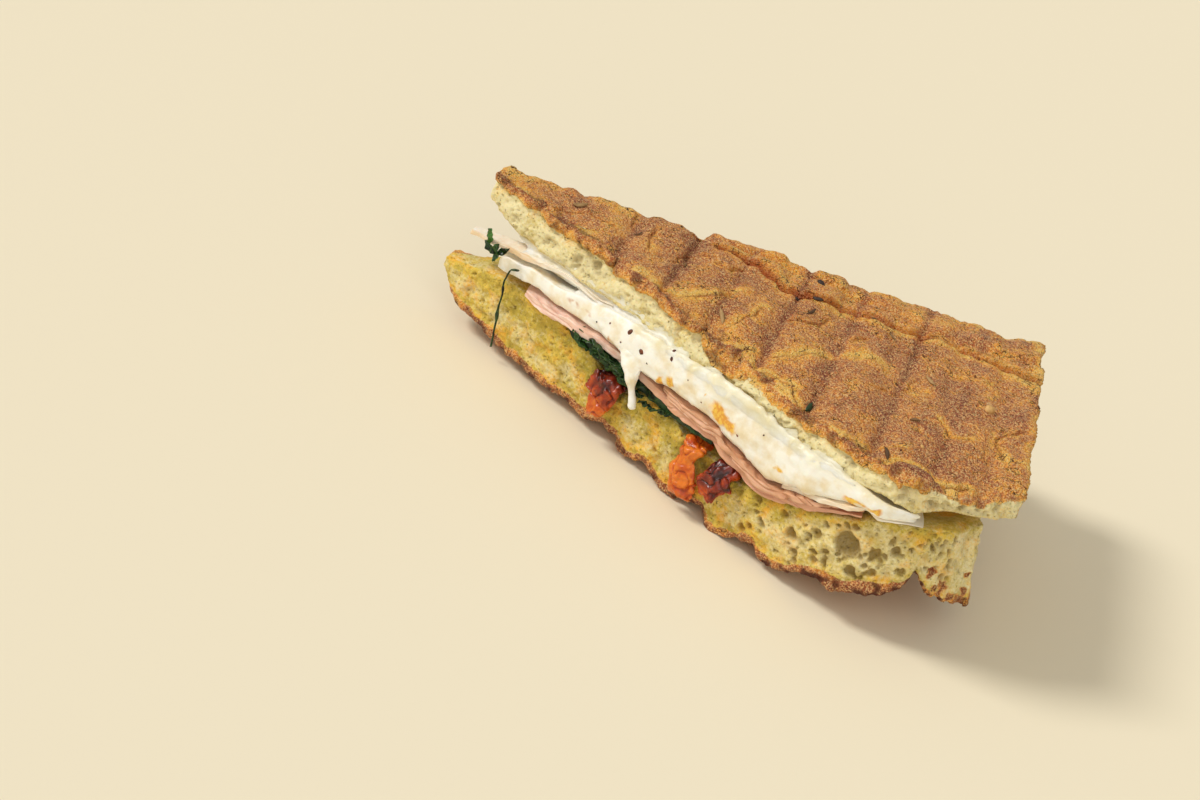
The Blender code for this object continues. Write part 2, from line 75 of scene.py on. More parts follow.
# Cracks in the upper crust: (points, half width, depth, width of the golden halo, its strength, height of
# the lip that stands up on the crack's left)
CRACKS = (
    (((126.0, 43.7), (118.5, 35.1), (113.6, 26.0), (108.1, 13.7)), 0.8, 1.1, 3.0, 1.0, 0.8),
    (((52.2, 16.6), (48.1, 22.2), (45.2, 27.9)), 0.5, 0.8, 1.8, 0.5, 0.4),
    (((66.2, 33.5), (70.9, 35.4), (71.9, 40.3)), 0.5, 0.9, 1.6, 0.4, 0.5),
    (((90.1, 28.3), (92.1, 22.5), (91.6, 13.2)), 0.5, 0.8, 2.6, 0.7, 0.6),
    (((80.3, 29.2), (79.3, 17.9), (74.5, 6.6), (68, 3)), 0.8, 1.0, 3.2, 0.9, 0.7),
    (((113.5, 44.2), (114.9, 51.4)), 0.5, 0.8, 1.3, 0.4, 0.3),
    (((165.9, 38.0), (162.8, 32.7), (153.9, 36.6)), 0.5, 0.9, 2.4, 0.8, 0.4),
    (((179, 19.5), (175.5, 14), (171.7, 11.4), (166.5, 10.4), (161.8, 5.6)), 0.6, 1.5, 2.2, 1.0, 0.9),
    (((158.8, 13.5), (155.0, 8.1), (146.3, 2.5)), 0.5, 1.1, 2.0, 0.6, 0.7),
    (((24, 4), (30, 12), (41, 14)), 0.5, 0.6, 1.4, 0.4, 0.3),
    (((126, 3.5), (120, 8), (112, 6), (106, 2)), 0.5, 0.8, 2.2, 0.8, 0.9),
    (((108, 13), (103, 11), (98, 4)), 0.6, 0.7, 2.6, 0.8, 0.6),
    (((150, 70), (140, 62), (126, 60)), 0.5, 0.6, 1.6, 0.4, 0.3),
    (((60, 20), (58, 30), (64, 36)), 0.5, 0.6, 1.4, 0.4, 0.3),
    (((133, 30), (139, 38), (137, 47)), 0.4, 0.6, 1.4, 0.3, 0.3),
    (((176, 40), (168, 47), (171, 58)), 0.5, 0.7, 2.0, 0.5, 0.4),
    (((40, 22), (36, 30)), 0.4, 0.6, 1.2, 0.3, 0.3),
    (((98, 32), (104, 40), (103, 46)), 0.4, 0.6, 1.4, 0.4, 0.3),
)
# The split along the rear, where the lid of the crust has lifted, in plan
REAR_SPLIT = ((60, 41.5), (65.2, 44.8), (73, 47.4), (79.2, 46.8), (86, 46.4), (91, 49), (95.5, 52.6),
              (101, 57.5), (105.1, 60.5), (112, 64), (126.4, 75.4), (134, 78.6), (141.1, 81), (157.8, 88.2),
              (172, 93))
BLISTER = (169.2, 5.8, 8.0, 3.9, 0.53)  # its middle, half length, half width and turn
BLISTER_RISE = 2.4

# Thickness of the crusts where the cut shows them: (distance along the cut, thickness)
UPPER_CRUST = ((0, 1.2), (20, 1.6), (45, 2.2), (55, 3.0), (66, 2.8), (80, 1.8), (92, 1.8), (98, 4.4),
               (105, 4.8), (110, 1.8), (130, 1.8), (150, 2.0), (162, 2.4), (170, 2.4), (176, 1.0), (210, 0.8))
# How far the crust is torn back at the cut: (distance along the cut, depth)
TORN_BACK = ((0, 0.6), (30, 1.0), (48, 2.6), (60, 1.2), (76, 1.0), (88, 2.4), (97, 5.0), (106, 6.4),
             (112, 4.6), (117, 3.4), (124, 4.6), (131, 3.0), (142, 1.2), (152, 2.2), (160, 0.8), (166, 0.0),
             (210, 0.0))
LOWER_CRUST = ((0, 3.2), (30, 3.2), (60, 2.8), (100, 2.6), (125, 3.0), (145, 3.6), (160, 5.0), (180, 5.4),
               (184, 3.4), (188, 2.2), (200, 1.8), (210, 2.4))
# How far the underside is lifted at the cut, between the ribs of the grill: (distance along the cut, lift)
SCALLOPS = ((0, 0), (14, 0), (20, 1.2), (26, 0), (46, 0.4), (52, 1.4), (58, 1.0), (66, 1.6), (70, 3.6),
            (73, 2.0), (79, -0.4), (83, 0.2), (87.5, 3.2), (91, 2.4), (95, 0.2), (102, 0), (105, 1.6),
            (108.3, 3.4), (112, 2.8), (115.7, -0.3), (119.7, -0.8), (124, 0.6), (128, 3.6), (132, 3.4),
            (136, 1.2), (140, 0.2), (146, 0.6), (150, 2.0), (154, 1.2), (160, 0), (172, 0), (178, -1.2),
            (183, -0.9), (185.4, 0), (210, 0))
NOTCH_AT = 0.883  # share of the cut edge where the lower crust is creased
# Baked spots on the far end of the lower slab: (x, y, z, radius)
END_SPOTS = ((181.2, 15.7, 26.0, 1.3), (184.4, 21.3, 20.7, 1.8), (186.5, 29.3, 15.1, 2.0),
             (185.5, 30.9, 23.4, 0.9), (187.3, 31.2, 17.9, 1.4), (184.5, 23.0, 27.5, 0.8),
             (187.0, 38.0, 18.0, 1.6), (183.0, 47.0, 16.0, 1.8), (178.0, 58.0, 16.0, 1.5),
             (185.6, 25.5, 17.0, 1.2), (182.8, 18.4, 21.0, 0.9), (187.6, 34.0, 15.0, 1.6))
# How far the oil has soaked down from the fillings, and how strongly: (distance along the cut, value)
STAIN_REACH = ((0, 5), (20, 9), (40, 14), (58, 17), (75, 15), (90, 12), (110, 11), (130, 10), (150, 6),
               (180, 5), (210, 3))
STAIN_STRENGTH = ((0, 1.0), (14, 0.9), (25, 0.7), (50, 0.95), (66, 1.0), (100, 0.75), (130, 0.7), (170, 0.55),
                  (210, 0.3))
# The large holes of the lower crumb: (distance along the cut, height, radius)
WIDE_HOLES = ((160.9, 25.0, 3.7), (170.5, 26.5, 1.9), (176.4, 30.0, 1.6), (142.8, 17.0, 1.7),
              (146.0, 12.0, 1.4), (165.1, 18.0, 1.8), (152.6, 14.6, 1.3), (150.5, 22.5, 1.6),
              (155.0, 19.0, 1.1), (172, 20.5, 1.4), (181, 24, 1.3), (138, 21, 1.2), (133, 13, 1.1),
              (191, 27, 1.5), (195, 33, 1.1), (127, 8, 1.2))

# Lower border of the upper crumb along the cut, where the cheese clings to it
VEIL_LINE = ((16, 41.0), (24, 41.6), (34, 41.8), (50, 43.2), (70, 44), (107, 43.6), (128, 43), (150, 44.4),
             (156, 45))
# How far the clinging cheese reaches down from that border: (distance along the cut, drop)
VEIL_DROP = ((16, 4.0), (24, 4.8), (40, 4.8), (60, 4.2), (80, 3.6), (156, 3.0))

# Marks on the cheese: (distance along the cut, height, half length, half height, tilt)
OIL_SPOTS = ((108.0, 37.2, 5.0, 3.0, -0.5), (112.5, 35.6, 3.0, 2.2, 0.3), (132.6, 34.5, 1.8, 1.3, 0.0),
             (158.0, 40.4, 4.4, 1.5, 0.25), (166.0, 41.6, 4.6, 1.3, 0.25), (88.0, 35.0, 1.8, 2.6, 0.2),
             (101.5, 39.8, 0.9, 0.7, 0.0), (138.4, 46.5, 1.0, 0.7, 0.0), (84.5, 33.6, 1.2, 1.8, 0.0))
TOASTED_SPOTS = ((46, 36.0, 3.0, 1.0, 0.1), (52, 36.5, 2.0, 0.8, 0.0), (63, 34.5, 1.6, 1.0, 0.0))
# Pepper on the cheese: (distance along the cut, height, radius)
PEPPER = ((75.3, 46.4, 0.95), (69.0, 40.8, 1.0), (75.5, 38.0, 1.0), (84.4, 43.8, 0.6), (85.5, 41.9, 0.7),
          (24.7, 38.0, 0.55), (17.3, 36.6, 0.55), (116.1, 35.2, 0.5), (61, 38.6, 0.4), (94, 40.2, 0.35),
          (67.5, 36.2, 0.4), (56.5, 36.2, 0.35), (101, 36.9, 0.3), (124, 40.8, 0.35), (79, 36.2, 0.35))

# Herb leaves that the solids carry on the upper crust, and those laid here in their place: (x, y, length,
# turn in degrees, tint from straw to green, width)
HERB_LUMPS = ((24, 14), (87, 12), (132, 4.5), (157, 9), (138, 53), (155, 62), (87, 63), (92, 55), (151, 28),
              (62, 24))
HERBS = ((26, 13, 4.6, 44, 0.1, 1.7), (86.5, 13.4, 6.6, -44, 0.0, 1.1), (157.0, 6.4, 6.8, -43, 0.4, 0.9),
         (140, 50.6, 4.8, -8, 0.0, 1.0), (98.6, 41.7, 5.2, 100, 0.4, 0.7), (128.1, 7.0, 5.0, 107, 0.75, 1.4),
         (90.5, 45.8, 2.0, 20, 0.5, 1.2), (94.9, 50, 3.2, 10, 0.5, 1.3), (151, 28, 3.0, 40, 0.2, 0.7),
         (62, 24, 3.0, -35, 0.2, 0.7), (45, 20, 2.6, 80, 0.3, 0.6), (118, 60, 3.2, -30, 0.15, 0.7))
# Golden crumbs lying on the crust: (x, y, radius, tint)
CRUMBS = ((88.7, 59.5, 1.6, 0.5), (158.5, 57.0, 2.1, 1.0), (160.5, 19.0, 0.8, 1.0), (109, 62, 0.9, 0.4),
          (143, 49.0, 0.6, 1.0), (121, 44, 0.5, 1.0), (33, 16, 0.5, 1.0))

# Height of each ham slice's upper side 148 mm along the cut, where the slices begin to thin out
HAM_TOP = {"ham_lower": 31.7, "ham_upper": 33.6}

# The stalk that hangs at the tip: (x, height), and where it is knotted: (share of its length, thickness)
STALK = ((22.6, 33.4), (20.4, 31.9), (19.6, 27.9), (20.4, 22.8), (21.0, 16.1), (22.1, 10.4), (22.8, 4.6))
STALK_THICK = ((0, 1.1), (0.08, 0.9), (0.14, 0.36), (0.4, 0.3), (0.44, 0.5), (0.48, 0.3), (0.63, 0.34),
               (0.68, 0.72), (0.74, 0.34), (0.96, 0.3), (1, 0.36))

# The leaves at the tip: (middle, way of the rib, way across, length, width, crumple, seed, freshness)
TIP_LEAVES = (((8.6, -3.6, 37.2), (-0.15, -0.1, 1.0), (1.0, -0.5, 0.1), 5.4, 3.0, 0.7, 2.0, 0.9),
              ((11.2, -3.9, 35.2), (1.0, -0.1, -0.3), (0.2, -0.3, 0.9), 5.4, 2.4, 0.9, 6.0, 0.0),
              ((14.6, -4.0, 35.2), (0.25, 0.0, -1.0), (0.9, -0.3, 0.2), 5.4, 3.4, 0.9, 9.0, 0.2),
              ((16.4, -4.0, 37.0), (0.8, 0.0, 0.75), (-0.5, -0.3, 0.8), 5.0, 2.2, 0.8, 13.0, 0.0))

# The photo's camera, worked out from the lines of the panini: its place and the ways it looks
CAMERA_AT = Vector((433.65, -600.32, 417.68))
CAMERA_RIGHT = Vector((0.7006, 0.6409, 0.3137))
CAMERA_DOWN = Vector((0.5514, -0.2072, -0.8081))
CAMERA_AHEAD = Vector((-0.4529, 0.7391, -0.4986))


def linear(code):
    """An sRGB hex colour as linear values with full alpha."""
    parts = [int(code[k:k + 2], 16) / 255 for k in (1, 3, 5)]
    return tuple(c / 12.92 if c <= 0.04045 else ((c + 0.055) / 1.055) ** 2.4 for c in parts) + (1.0,)


def smooth(t):
    """0 below 0, 1 above 1 and a smooth rise between, for numbers and arrays."""
    t = np.clip(t, 0.0, 1.0)
    return t * t * (3 - 2 * t)


def hump(t):
    """1 at 0 and a soft fall to nothing on both sides."""
    return np.exp(-(t ** 2))


def along(table, x):
    """The value at x of a table of (x, value), on straight runs between its rows."""
    return np.interp(x, *zip(*table))


def grain(points, size, seed=0.0):
    """Smooth noise from -1 to 1 at each point, with bumps about size millimetres across."""
    return np.array([noise.noise(Vector(p)) for p in points / size + seed])


def rough(points, *terms):
    """A sum of noises, each given as (height, size of its bumps, seed)."""
    return sum(height * grain(points, size, seed) for height, size, seed in terms)


def veined(points, size, seed, width):
    """A web of fine lines, where a noise passes through zero."""
    return np.clip(1 - np.abs(grain(points, size, seed)) / width, 0, 1)


def shaken(points, reach, size, *seeds):
    """The points moved about by noise, along as many axes as there are seeds."""
    moved = points.copy()
    moved[:, :len(seeds)] += reach * np.stack([grain(points, size, seed) for seed in seeds], 1)
    return moved


def plug(tree, node, links):
    """Gives a node's inputs, in order or by name, a value, a hex colour or the output of another node."""
    for key, value in links.items() if isinstance(links, dict) else enumerate(links):
        if isinstance(value, bpy.types.Node):
            value = value.outputs[{"RGBA": 2, "VECTOR": 1}.get(getattr(value, "data_type", ""), 0)]
        if isinstance(value, bpy.types.NodeSocket):
            tree.links.new(value, node.inputs[key])
        else:
            node.inputs[key].default_value = linear(value) if isinstance(value, str) else value


def add(tree, kind, links=(), stops=(), **settings):
    """Adds a node with its settings and links; stops fill a colour ramp."""
    made = tree.nodes.new("ShaderNode" + kind)
    for key, value in settings.items():
        setattr(made, key, value)
    plug(tree, made, links)
    for number, (place, tint) in enumerate(stops):
        elements = made.color_ramp.elements
        if number >= len(elements):
            elements.new(1.0)
        elements[number].position = place
        elements[number].color = linear(tint)
    return made


def blank(name, *masks):
    """A new material, the function that adds its nodes, Object coordinates and each mask that it reads."""
    made = bpy.data.materials.new(name)
    made.use_nodes = True
    node = partial(add, made.node_tree)
    read = [node("Attribute", attribute_name=mask).outputs["Fac"] for mask in masks]
    return made, node, node("TexCoord").outputs["Object"], *read


def finished(made, links, scatter=None):
    """Sets the Principled shader's inputs; scatter is its weight and how far each colour runs, in metres."""
    if scatter:
        links = {**links, "Subsurface Weight": scatter[0], "Subsurface Radius": scatter[1],
                 "Subsurface Scale": 1.0}
    plug(made.node_tree, made.node_tree.nodes["Principled BSDF"], links)
    return made


def points_of(mesh):
    """The mesh's vertices in millimetres from the tip."""
    flat = np.empty(len(mesh.vertices) * 3, np.float32)
    mesh.vertices.foreach_get("co", flat)
    return (flat.reshape(-1, 3).astype(float) - np.array(TIP)) / MM


def normals_of(mesh):
    """The normals of the mesh's vertices."""
    flat = np.empty(len(mesh.vertices) * 3, np.float32)
    mesh.vertices.foreach_get("normal", flat)
    return flat.reshape(-1, 3).astype(float)


def put_points(mesh, points):
    """Moves the mesh's vertices to points in millimetres from the tip."""
    mesh.vertices.foreach_set("co", (points * MM + np.array(TIP)).astype(np.float32).ravel())
    mesh.update()


def put_masks(mesh, **masks):
    """Keeps named numbers from 0 to 1 for each vertex, for a material to read."""
    for name, values in masks.items():
        layer = mesh.attributes.new(name, "FLOAT", "POINT")
        layer.data.foreach_set("value", np.clip(values, 0, 1).astype(np.float32))


def spread(points, lean=False):
    """For each point: its share u of the cut edge, share v of the depth, distance in from the cut, and
    the direction in which depth runs."""
    x, y, z = points.T
    if lean:
        # the lower slab's far end leans inwards from its base, so its own u is found in a few rounds
        for _ in range(3):
            u, v, _, _ = spread(np.stack([x, y, z], 1))
            set_back = 1.5 + 7.0 * np.clip((z - 10) / 30, 0, 1) + 6.0 * np.clip(v, 0, 1)
            x = points[:, 0] + set_back * smooth((u - 0.9) / 0.1)
    a = CUT_RUN * BACK_RUN[1]
    b = CUT_RUN * TIP_BACK[1] - BACK_RUN[1] * x + (BACK_RUN[0] - CUT_RUN) * y
    c = TIP_BACK[1] * x - TIP_BACK[0] * y
    u = (-b + np.sqrt(np.maximum(b * b + 4 * a * c, 0))) / (2 * a)
    line = np.stack([TIP_BACK[0] + (BACK_RUN[0] - CUT_RUN) * u, TIP_BACK[1] + BACK_RUN[1] * u], 1)
    length = np.linalg.norm(line, axis=1)
    front = ROUND_BACK * np.clip((u - ROUND_FROM) / (1 - ROUND_FROM), 0, None) ** 2
    rear = STEP_BACK * (1 - smooth((u - STEP_AT) / 0.03 + 0.5))
    inside = y / line[:, 1] * length - front
    return u, inside / (length - front - rear), inside, line / length[:, None]


def distance_to(points, path):
    """Distance in plan from each point to a path of straight runs, and whether it lies on the path's left."""
    best, left = np.full(len(points), 1e9), np.zeros(len(points))
    for a, b in zip(path, path[1:]):
        a, b = np.array(a, float), np.array(b, float)
        run, off = b - a, points[:, :2] - a
        t = np.clip((off @ run) / (run @ run), 0, 1)
        away = np.linalg.norm(off - t[:, None] * run, axis=1)
        side = run[0] * off[:, 1] - run[1] * off[:, 0] > 0
        left = np.where(away < best, side, left)
        best = np.minimum(best, away)
    return best, left


def oval(across, up, long, short, turn):
    """Distance from the middle of a turned oval, 1 on its rim."""
    a = (across * math.cos(turn) + up * math.sin(turn)) / long
    return np.hypot(a, (up * math.cos(turn) - across * math.sin(turn)) / short)


def mesh_of(bm, name="even"):
    """A new mesh from a bmesh, which is used up."""
    mesh = bpy.data.meshes.new(name)
    bm.to_mesh(mesh)
    bm.free()
    return mesh


def node_mesh(node, *modifiers):
    """A CAD node's mesh with its loose triangles joined, after some modifiers."""
    bm = bmesh.new()
    bm.from_mesh(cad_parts[node].data)
    bmesh.ops.remove_doubles(bm, verts=bm.verts[:], dist=1e-6)
    return modified(mesh_of(bm), *modifiers)


def modified(mesh, *modifiers):
    """The mesh after some modifiers, each given as its kind and its settings."""
    holder = bpy.data.objects.new("even", mesh)
    bpy.context.scene.collection.objects.link(holder)
    for kind, settings in modifiers:
        made = holder.modifiers.new(kind.lower(), kind)
        for key, value in settings.items():
            setattr(made, key, value)
    bpy.context.view_layer.update()
    done = bpy.data.meshes.new_from_object(holder.evaluated_get(bpy.context.evaluated_depsgraph_get()))
    bpy.data.objects.remove(holder)
    bpy.data.meshes.remove(mesh)
    return done


def divided(mesh, chosen):
    """Halves every edge whose two ends are chosen, and returns the finer mesh."""
    bm = bmesh.new()
    bm.from_mesh(mesh)
    bm.verts.ensure_lookup_table()
    edges = [e for e in bm.edges if chosen[e.verts[0].index] and chosen[e.verts[1].index]]
    bmesh.ops.subdivide_edges(bm, edges=edges, cuts=1, use_grid_fill=True)
    bmesh.ops.triangulate(bm, faces=[f for f in bm.faces if len(f.verts) > 4])
    bm.to_mesh(mesh)
    bm.free()
    return mesh


def relax(bm, verts, rounds, factor):
    """Smooths some vertices of a bmesh."""
    for _ in range(rounds):
        bmesh.ops.smooth_vert(bm, verts=verts, factor=factor, use_axis_x=True, use_axis_y=True,
                              use_axis_z=True)


def soften(mesh, chosen, rounds, factor=0.6):
    """Smooths the chosen vertices of a mesh."""
    bm = bmesh.new()
    bm.from_mesh(mesh)
    bm.verts.ensure_lookup_table()
    relax(bm, [bm.verts[i] for i in np.nonzero(chosen)[0]], rounds, factor)
    bm.to_mesh(mesh)
    bm.free()


def as_piece(mesh, name, finish, slot, *nodes):
    """Turns a mesh into a finished piece that rides on the part and replaces the nodes it covers."""
    mesh.shade_smooth()
    piece = bpy.data.objects.new(name, mesh)
    bpy.context.scene.collection.objects.link(piece)
    mesh.materials.clear()
    mesh.materials.append(finish)
    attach(piece, "root")
    if nodes:
        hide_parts(*nodes)


def bread_mesh(node, step):
    """A slab's mesh in even steps, with its edges rounded off."""
    return node_mesh(node, ("REMESH", {"mode": "VOXEL", "voxel_size": step * MM}),
                     ("SMOOTH", {"factor": 0.5, "iterations": 7}))


def bread_sides(normals, line, v, near_cut):
    """For each point of a slab: how much it faces the cut, lies on the cut face, and on the rear rim."""
    facing = -(normals[:, :2] * line).sum(1)
    face = smooth((facing - 0.25) / 0.3) * near_cut
    rim = np.maximum(smooth((v - 0.965) / 0.02), smooth((-facing - 0.3) / 0.3) * (v > 0.5))
    return facing, face, rim * (1 - face)


def cut_heights(mesh, lean=False):
    """Lowest and highest point of the slab just behind the cut, in steps of two millimetres."""
    points = points_of(mesh)
    u, _, inside, _ = spread(points, lean)
    steps = np.round(CUT_RUN * u / 2).astype(int)
    low, high = [], []
    for step in range(0, int(CUT_RUN / 2)):
        heights = points[(steps == step) & (inside < 2.6), 2]
        if len(heights):
            low.append((step * 2, heights.min()))
            high.append((step * 2, heights.max()))
    return low, high


def pores(seed, count, sizes, run, low, high, inset=(0.0, 0.0)):
    """Random holes in the crumb, as (distance along the cut, height, radius), between two borders."""
    rng = np.random.default_rng(seed)
    made = []
    while len(made) < count:
        x = rng.uniform(*run)
        bottom, top = along(low, x) + inset[0], along(high, x) - inset[1]
        height, radius = rng.uniform(bottom + 1.0, max(top - 1.0, bottom + 1.1)), rng.uniform(*sizes)
        made.append((x, height, radius * rng.uniform(0.6, 1.0)))
    return made


def dug(along_cut, points, holes, slim):
    """How deep the holes go at each point of the cut face; each is an uneven oval, leaning its own way."""
    depth = np.zeros(len(points))
    bent_x = along_cut + 0.45 * grain(points, 1.7, 101.0)
    bent_z = points[:, 2] + 0.45 * grain(points, 1.7, 103.0)
    for x, z, radius in holes:
        near = (np.abs(bent_x - x) < radius * 1.9) & (np.abs(bent_z - z) < radius * 1.9)
        away = oval(bent_x[near] - x, bent_z[near] - z, 1.3, 1 / slim, 0.8 * math.sin(x * 7.3 + z))
        depth[near] = np.maximum(depth[near], radius * 1.1 * smooth((1.15 - away / radius) / 0.75))
    return depth


def rib_mark(u, inside, width):
    """How near each point is to the middle of a grill mark; width is a share of the cut edge."""
    slant = 0.0005 * (inside - 20)
    return np.max([strength * hump((u - at - slant) / width) for at, strength in RIBS], axis=0)


def grown_upper_bread(step):
    """The upper slab: its crust torn back at the cut, ribbed, cracked and split, over a porous crumb."""
    mesh = bread_mesh("bread_upper", step)
    points, normals = points_of(mesh), normals_of(mesh)
    herbs = np.min([np.hypot(points[:, 0] - x, points[:, 1] - y) for x, y in HERB_LUMPS], axis=0)
    soften(mesh, (herbs < 4.2) & (normals[:, 2] > 0), 14)
    points = points_of(mesh)
    near_crack = np.min([distance_to(points, crack[0])[0] for crack in CRACKS], axis=0) < 1.9
    near_split = distance_to(points, REAR_SPLIT)[0] < 2.6
    near_line = (near_crack | near_split) & (normals[:, 2] > 0.3)
    mesh = divided(mesh, (spread(points)[2] < 2.4) | near_line)

    # near the far end the crust comes down at the cut, and the crumb below hangs to the cheese
    points = points_of(mesh)
    u, v, inside, line = spread(points)
    x, z = CUT_RUN * u, points[:, 2]
    high = smooth((z - SHOULDER) / 7)
    z -= 3.0 * smooth((u - 0.85) / 0.1) * (1 - smooth(inside / 8)) ** 2 * high
    lobe = hump((x - 177) / 8) * (1 - smooth((inside - 3) / 12)) * (1 - smooth((z - SHOULDER) / 6))
    z -= 3.6 * lobe
    put_points(mesh, points)
    cut_low, cut_top = cut_heights(mesh)

    # the crust's front edge is torn back unevenly
    upright = points * np.array([1, 1, 0.15])
    bitten = along(TORN_BACK, x) + 1.8 * smooth(grain(upright, 6.0, 67.0) * 2.2) * (u < 0.8)
    ragged = bitten - 0.4 + 0.8 * grain(points, 2.4, 69.0) * (u < 0.8)
    top_edge = smooth(1 - inside / (3.5 + 2 * bitten)) * smooth((z - SHOULDER - 0.5) / 6)
    points[:, :2] += line * (ragged * top_edge)[:, None]
    put_points(mesh, points)
    normals = normals_of(mesh)

    facing, face, rim = bread_sides(normals, line, v, inside < 2.6 + 0.7 * bitten)
    upward = smooth((normals[:, 2] - 0.15) / 0.35) * (1 - face)
    end = smooth((u - 0.982) / 0.008) * (1 - face) * (np.abs(normals[:, 2]) < 0.75)
    sunk = along(cut_top, x) - z
    crust_depth = along(UPPER_CRUST, x) + rough(points, (0.8, 4.5, 3.0), (0.5, 1.6, 9.0))
    crust_depth += 1.5 * smooth(grain(points, 7, 55.0) * 2 + 1.0) * (x < 168)
    edge = smooth((crust_depth - sunk) / 1.5 + 0.5) * face
    crumb = face * (1 - edge)

    # cracks, each with a lip on its left, a golden halo, and a dark line on its floor that is partly
    # red-orange torn crust and partly painted shade
    wavy = shaken(points, 0.7, 3.2, 11.0, 17.0)
    push, golden, dark_line = np.zeros((3, len(points)))
    for path, width, depth, halo, glow, lip in CRACKS:
        off, left = distance_to(wavy, path)
        dark_line = np.maximum(dark_line, (0.2 + 0.5 * glow) * hump((off - 0.1) / 0.34))
        push += upward * (lip * left * np.exp(-off / 2.6) - depth * hump(off / width))
        golden = np.maximum(golden, glow * hump(off / halo) * (1 - 0.45 * left))

    # lumps, fine creases, the ribs of the grill and the blister
    push += upward * rough(points, (0.55, 6.5, 1.0), (0.4, 2.6, 5.0), (0.2, 1.3, 7.0))
    web = veined(points, 7.5, 23.0, 0.06) * smooth(grain(points, 15, 41.0) * 2 + 0.3)
    net = veined(points, 4.4, 27.0, 0.09) * smooth(grain(points, 12, 45.0) * 2.4)
    push -= (0.5 * web + 0.35 * net) * upward
    rib = rib_mark(u + 0.003 * grain(points, 9, 2.0), inside, 0.0055)
    pressed = rib * (0.4 + 0.6 * smooth(grain(points, 22, 31.0) + 0.65))
    push += (0.5 * (1 - rib_mark(u, inside, 0.02)) - 1.2 * pressed) * upward
    blister = oval(points[:, 0] - BLISTER[0], points[:, 1] - BLISTER[1], *BLISTER[2:])
    push += (BLISTER_RISE * smooth(1.3 - blister) - 0.9 * hump((blister - 1.3) / 0.16)) * (upward + edge)

    # the rear split, wide open towards the tip, and the strip behind it, which has lifted
    off, behind = distance_to(wavy, REAR_SPLIT)
    wide = 1 - smooth((u - 0.56) / 0.12)
    push -= (1.5 + 0.7 * wide) * hump(off / (0.6 + 0.35 * wide)) * upward
    rear = behind * smooth((off - 0.3) / 0.8) * upward
    rise = 1.6 * (0.3 + 0.7 * wide) * np.exp(-off / 4) + 0.4 + rough(points, (0.9, 8, 83.0), (0.6, 3.4, 87.0))
    push += rear * smooth((points[:, 0] - 56) / 24) * rise
    split_glow = hump((off - 0.8) / 2.8) * (1 - 0.5 * wide) * (1 - 0.5 * behind) * upward
    golden = np.maximum(golden, split_glow)

    # pores and hollows of the crumb, and the crust's broken edge above it; the depth of the pores and hollows
    # is also painted into the colour as shade
    holes = pores(3, 170, (0.5, 1.1), (2, 203), cut_low, cut_top)
    holes += pores(5, 40, (1.2, 2.4), (40, 203), cut_low, cut_top)
    deep = dug(x, points, holes, 1.25) * crumb
    hollow = np.clip(grain(points * np.array([0.55, 1, 1]), 3.6, 13.0), -1, 0.25)
    push += crumb * (1.5 * hollow + 0.4 * grain(points, 1.4, 19.0)) - deep * 0.65
    push += edge * (0.8 + rough(points, (0.9, 5.5, 25.0), (0.6, 2.2, 29.0)))
    push -= 0.8 * crumb * smooth(1 - (sunk - crust_depth) / 2.5) * (x < 165)
    push += (rim + end) * rough(points, (0.5, 3.5, 37.0), (0.8, 8.5, 39.0))
    push += 0.9 * smooth((-normals[:, 2] - 0.3) / 0.3) * smooth((9 - inside) / 6) * smooth((x - 36) / 14)
    put_points(mesh, points + normals * push[:, None])

    # how well each spot is baked
    brim = np.maximum(smooth((v - 0.965) / 0.03), smooth((u - 0.972) / 0.02))
    brim *= smooth(grain(points, 6, 57.0) * 2 + 0.6)
    golden = np.maximum(golden, 0.6 * brim) * (1 - smooth(1.5 - blister))
    toast = 0.62 + rough(points, (0.36, 13, 43.0), (0.16, 4, 47.0))
    # the narrow rib line is the seared grill mark; the wider, softer band is painted shade along the rib's
    # groove
    toast += 0.4 * rib + 0.16 * rib_mark(u, inside, 0.016)
    toast -= 0.75 * golden + 0.25 * web + 0.35 * net + 0.24 * (1 - smooth(u / 0.34))
    toast -= 0.6 * smooth(1 - (inside - bitten) / 3.5) * smooth(grain(points, 7, 53.0) * 2 + 0.3)
    toast += 0.5 * smooth((1.25 - blister) / 0.4) - 0.4 * hump((blister - 1.45) / 0.25)
    toast -= 0.12 * rear + 0.3 * smooth((u - 0.9) / 0.08) * smooth(1 - inside / 7)
    charred = 0.78 - 0.72 * np.clip(sunk / np.maximum(crust_depth, 0.6), 0, 1) + 0.3 * grain(points, 4, 59.0)
    toast = np.where(edge * face > upward, charred, toast) * (1 - 0.3 * rim - 0.75 * end)
    burnt = 0.6 * edge * face * smooth(grain(points, 3.6, 97.0) * 3 - 0.2)
    seam = hump((facing - 0.3) / 0.22) * smooth(1 - (inside - bitten) / 3.2) * high
    seam *= smooth(grain(points, 6, 99.0) * 2 + 0.7) * (x < 166)
    put_masks(mesh, crust=np.maximum.reduce([upward, edge, rim, end * 0.75]), toast=toast,
              deep=deep / 2.8 + 0.5 * np.clip(-hollow, 0, 1) * face,
              torn=upward * np.maximum(0.8 * dark_line, hump(off / 1.3) * (0.55 + 0.45 * wide)),
              stain=0.3 * face * smooth(grain(points, 8, 61.0) * 2) + 0.3 * smooth(-normals[:, 2]),
              green=0 * toast, char=np.maximum.reduce([burnt, 0.75 * seam, 0.5 * dark_line * upward]))
    return mesh


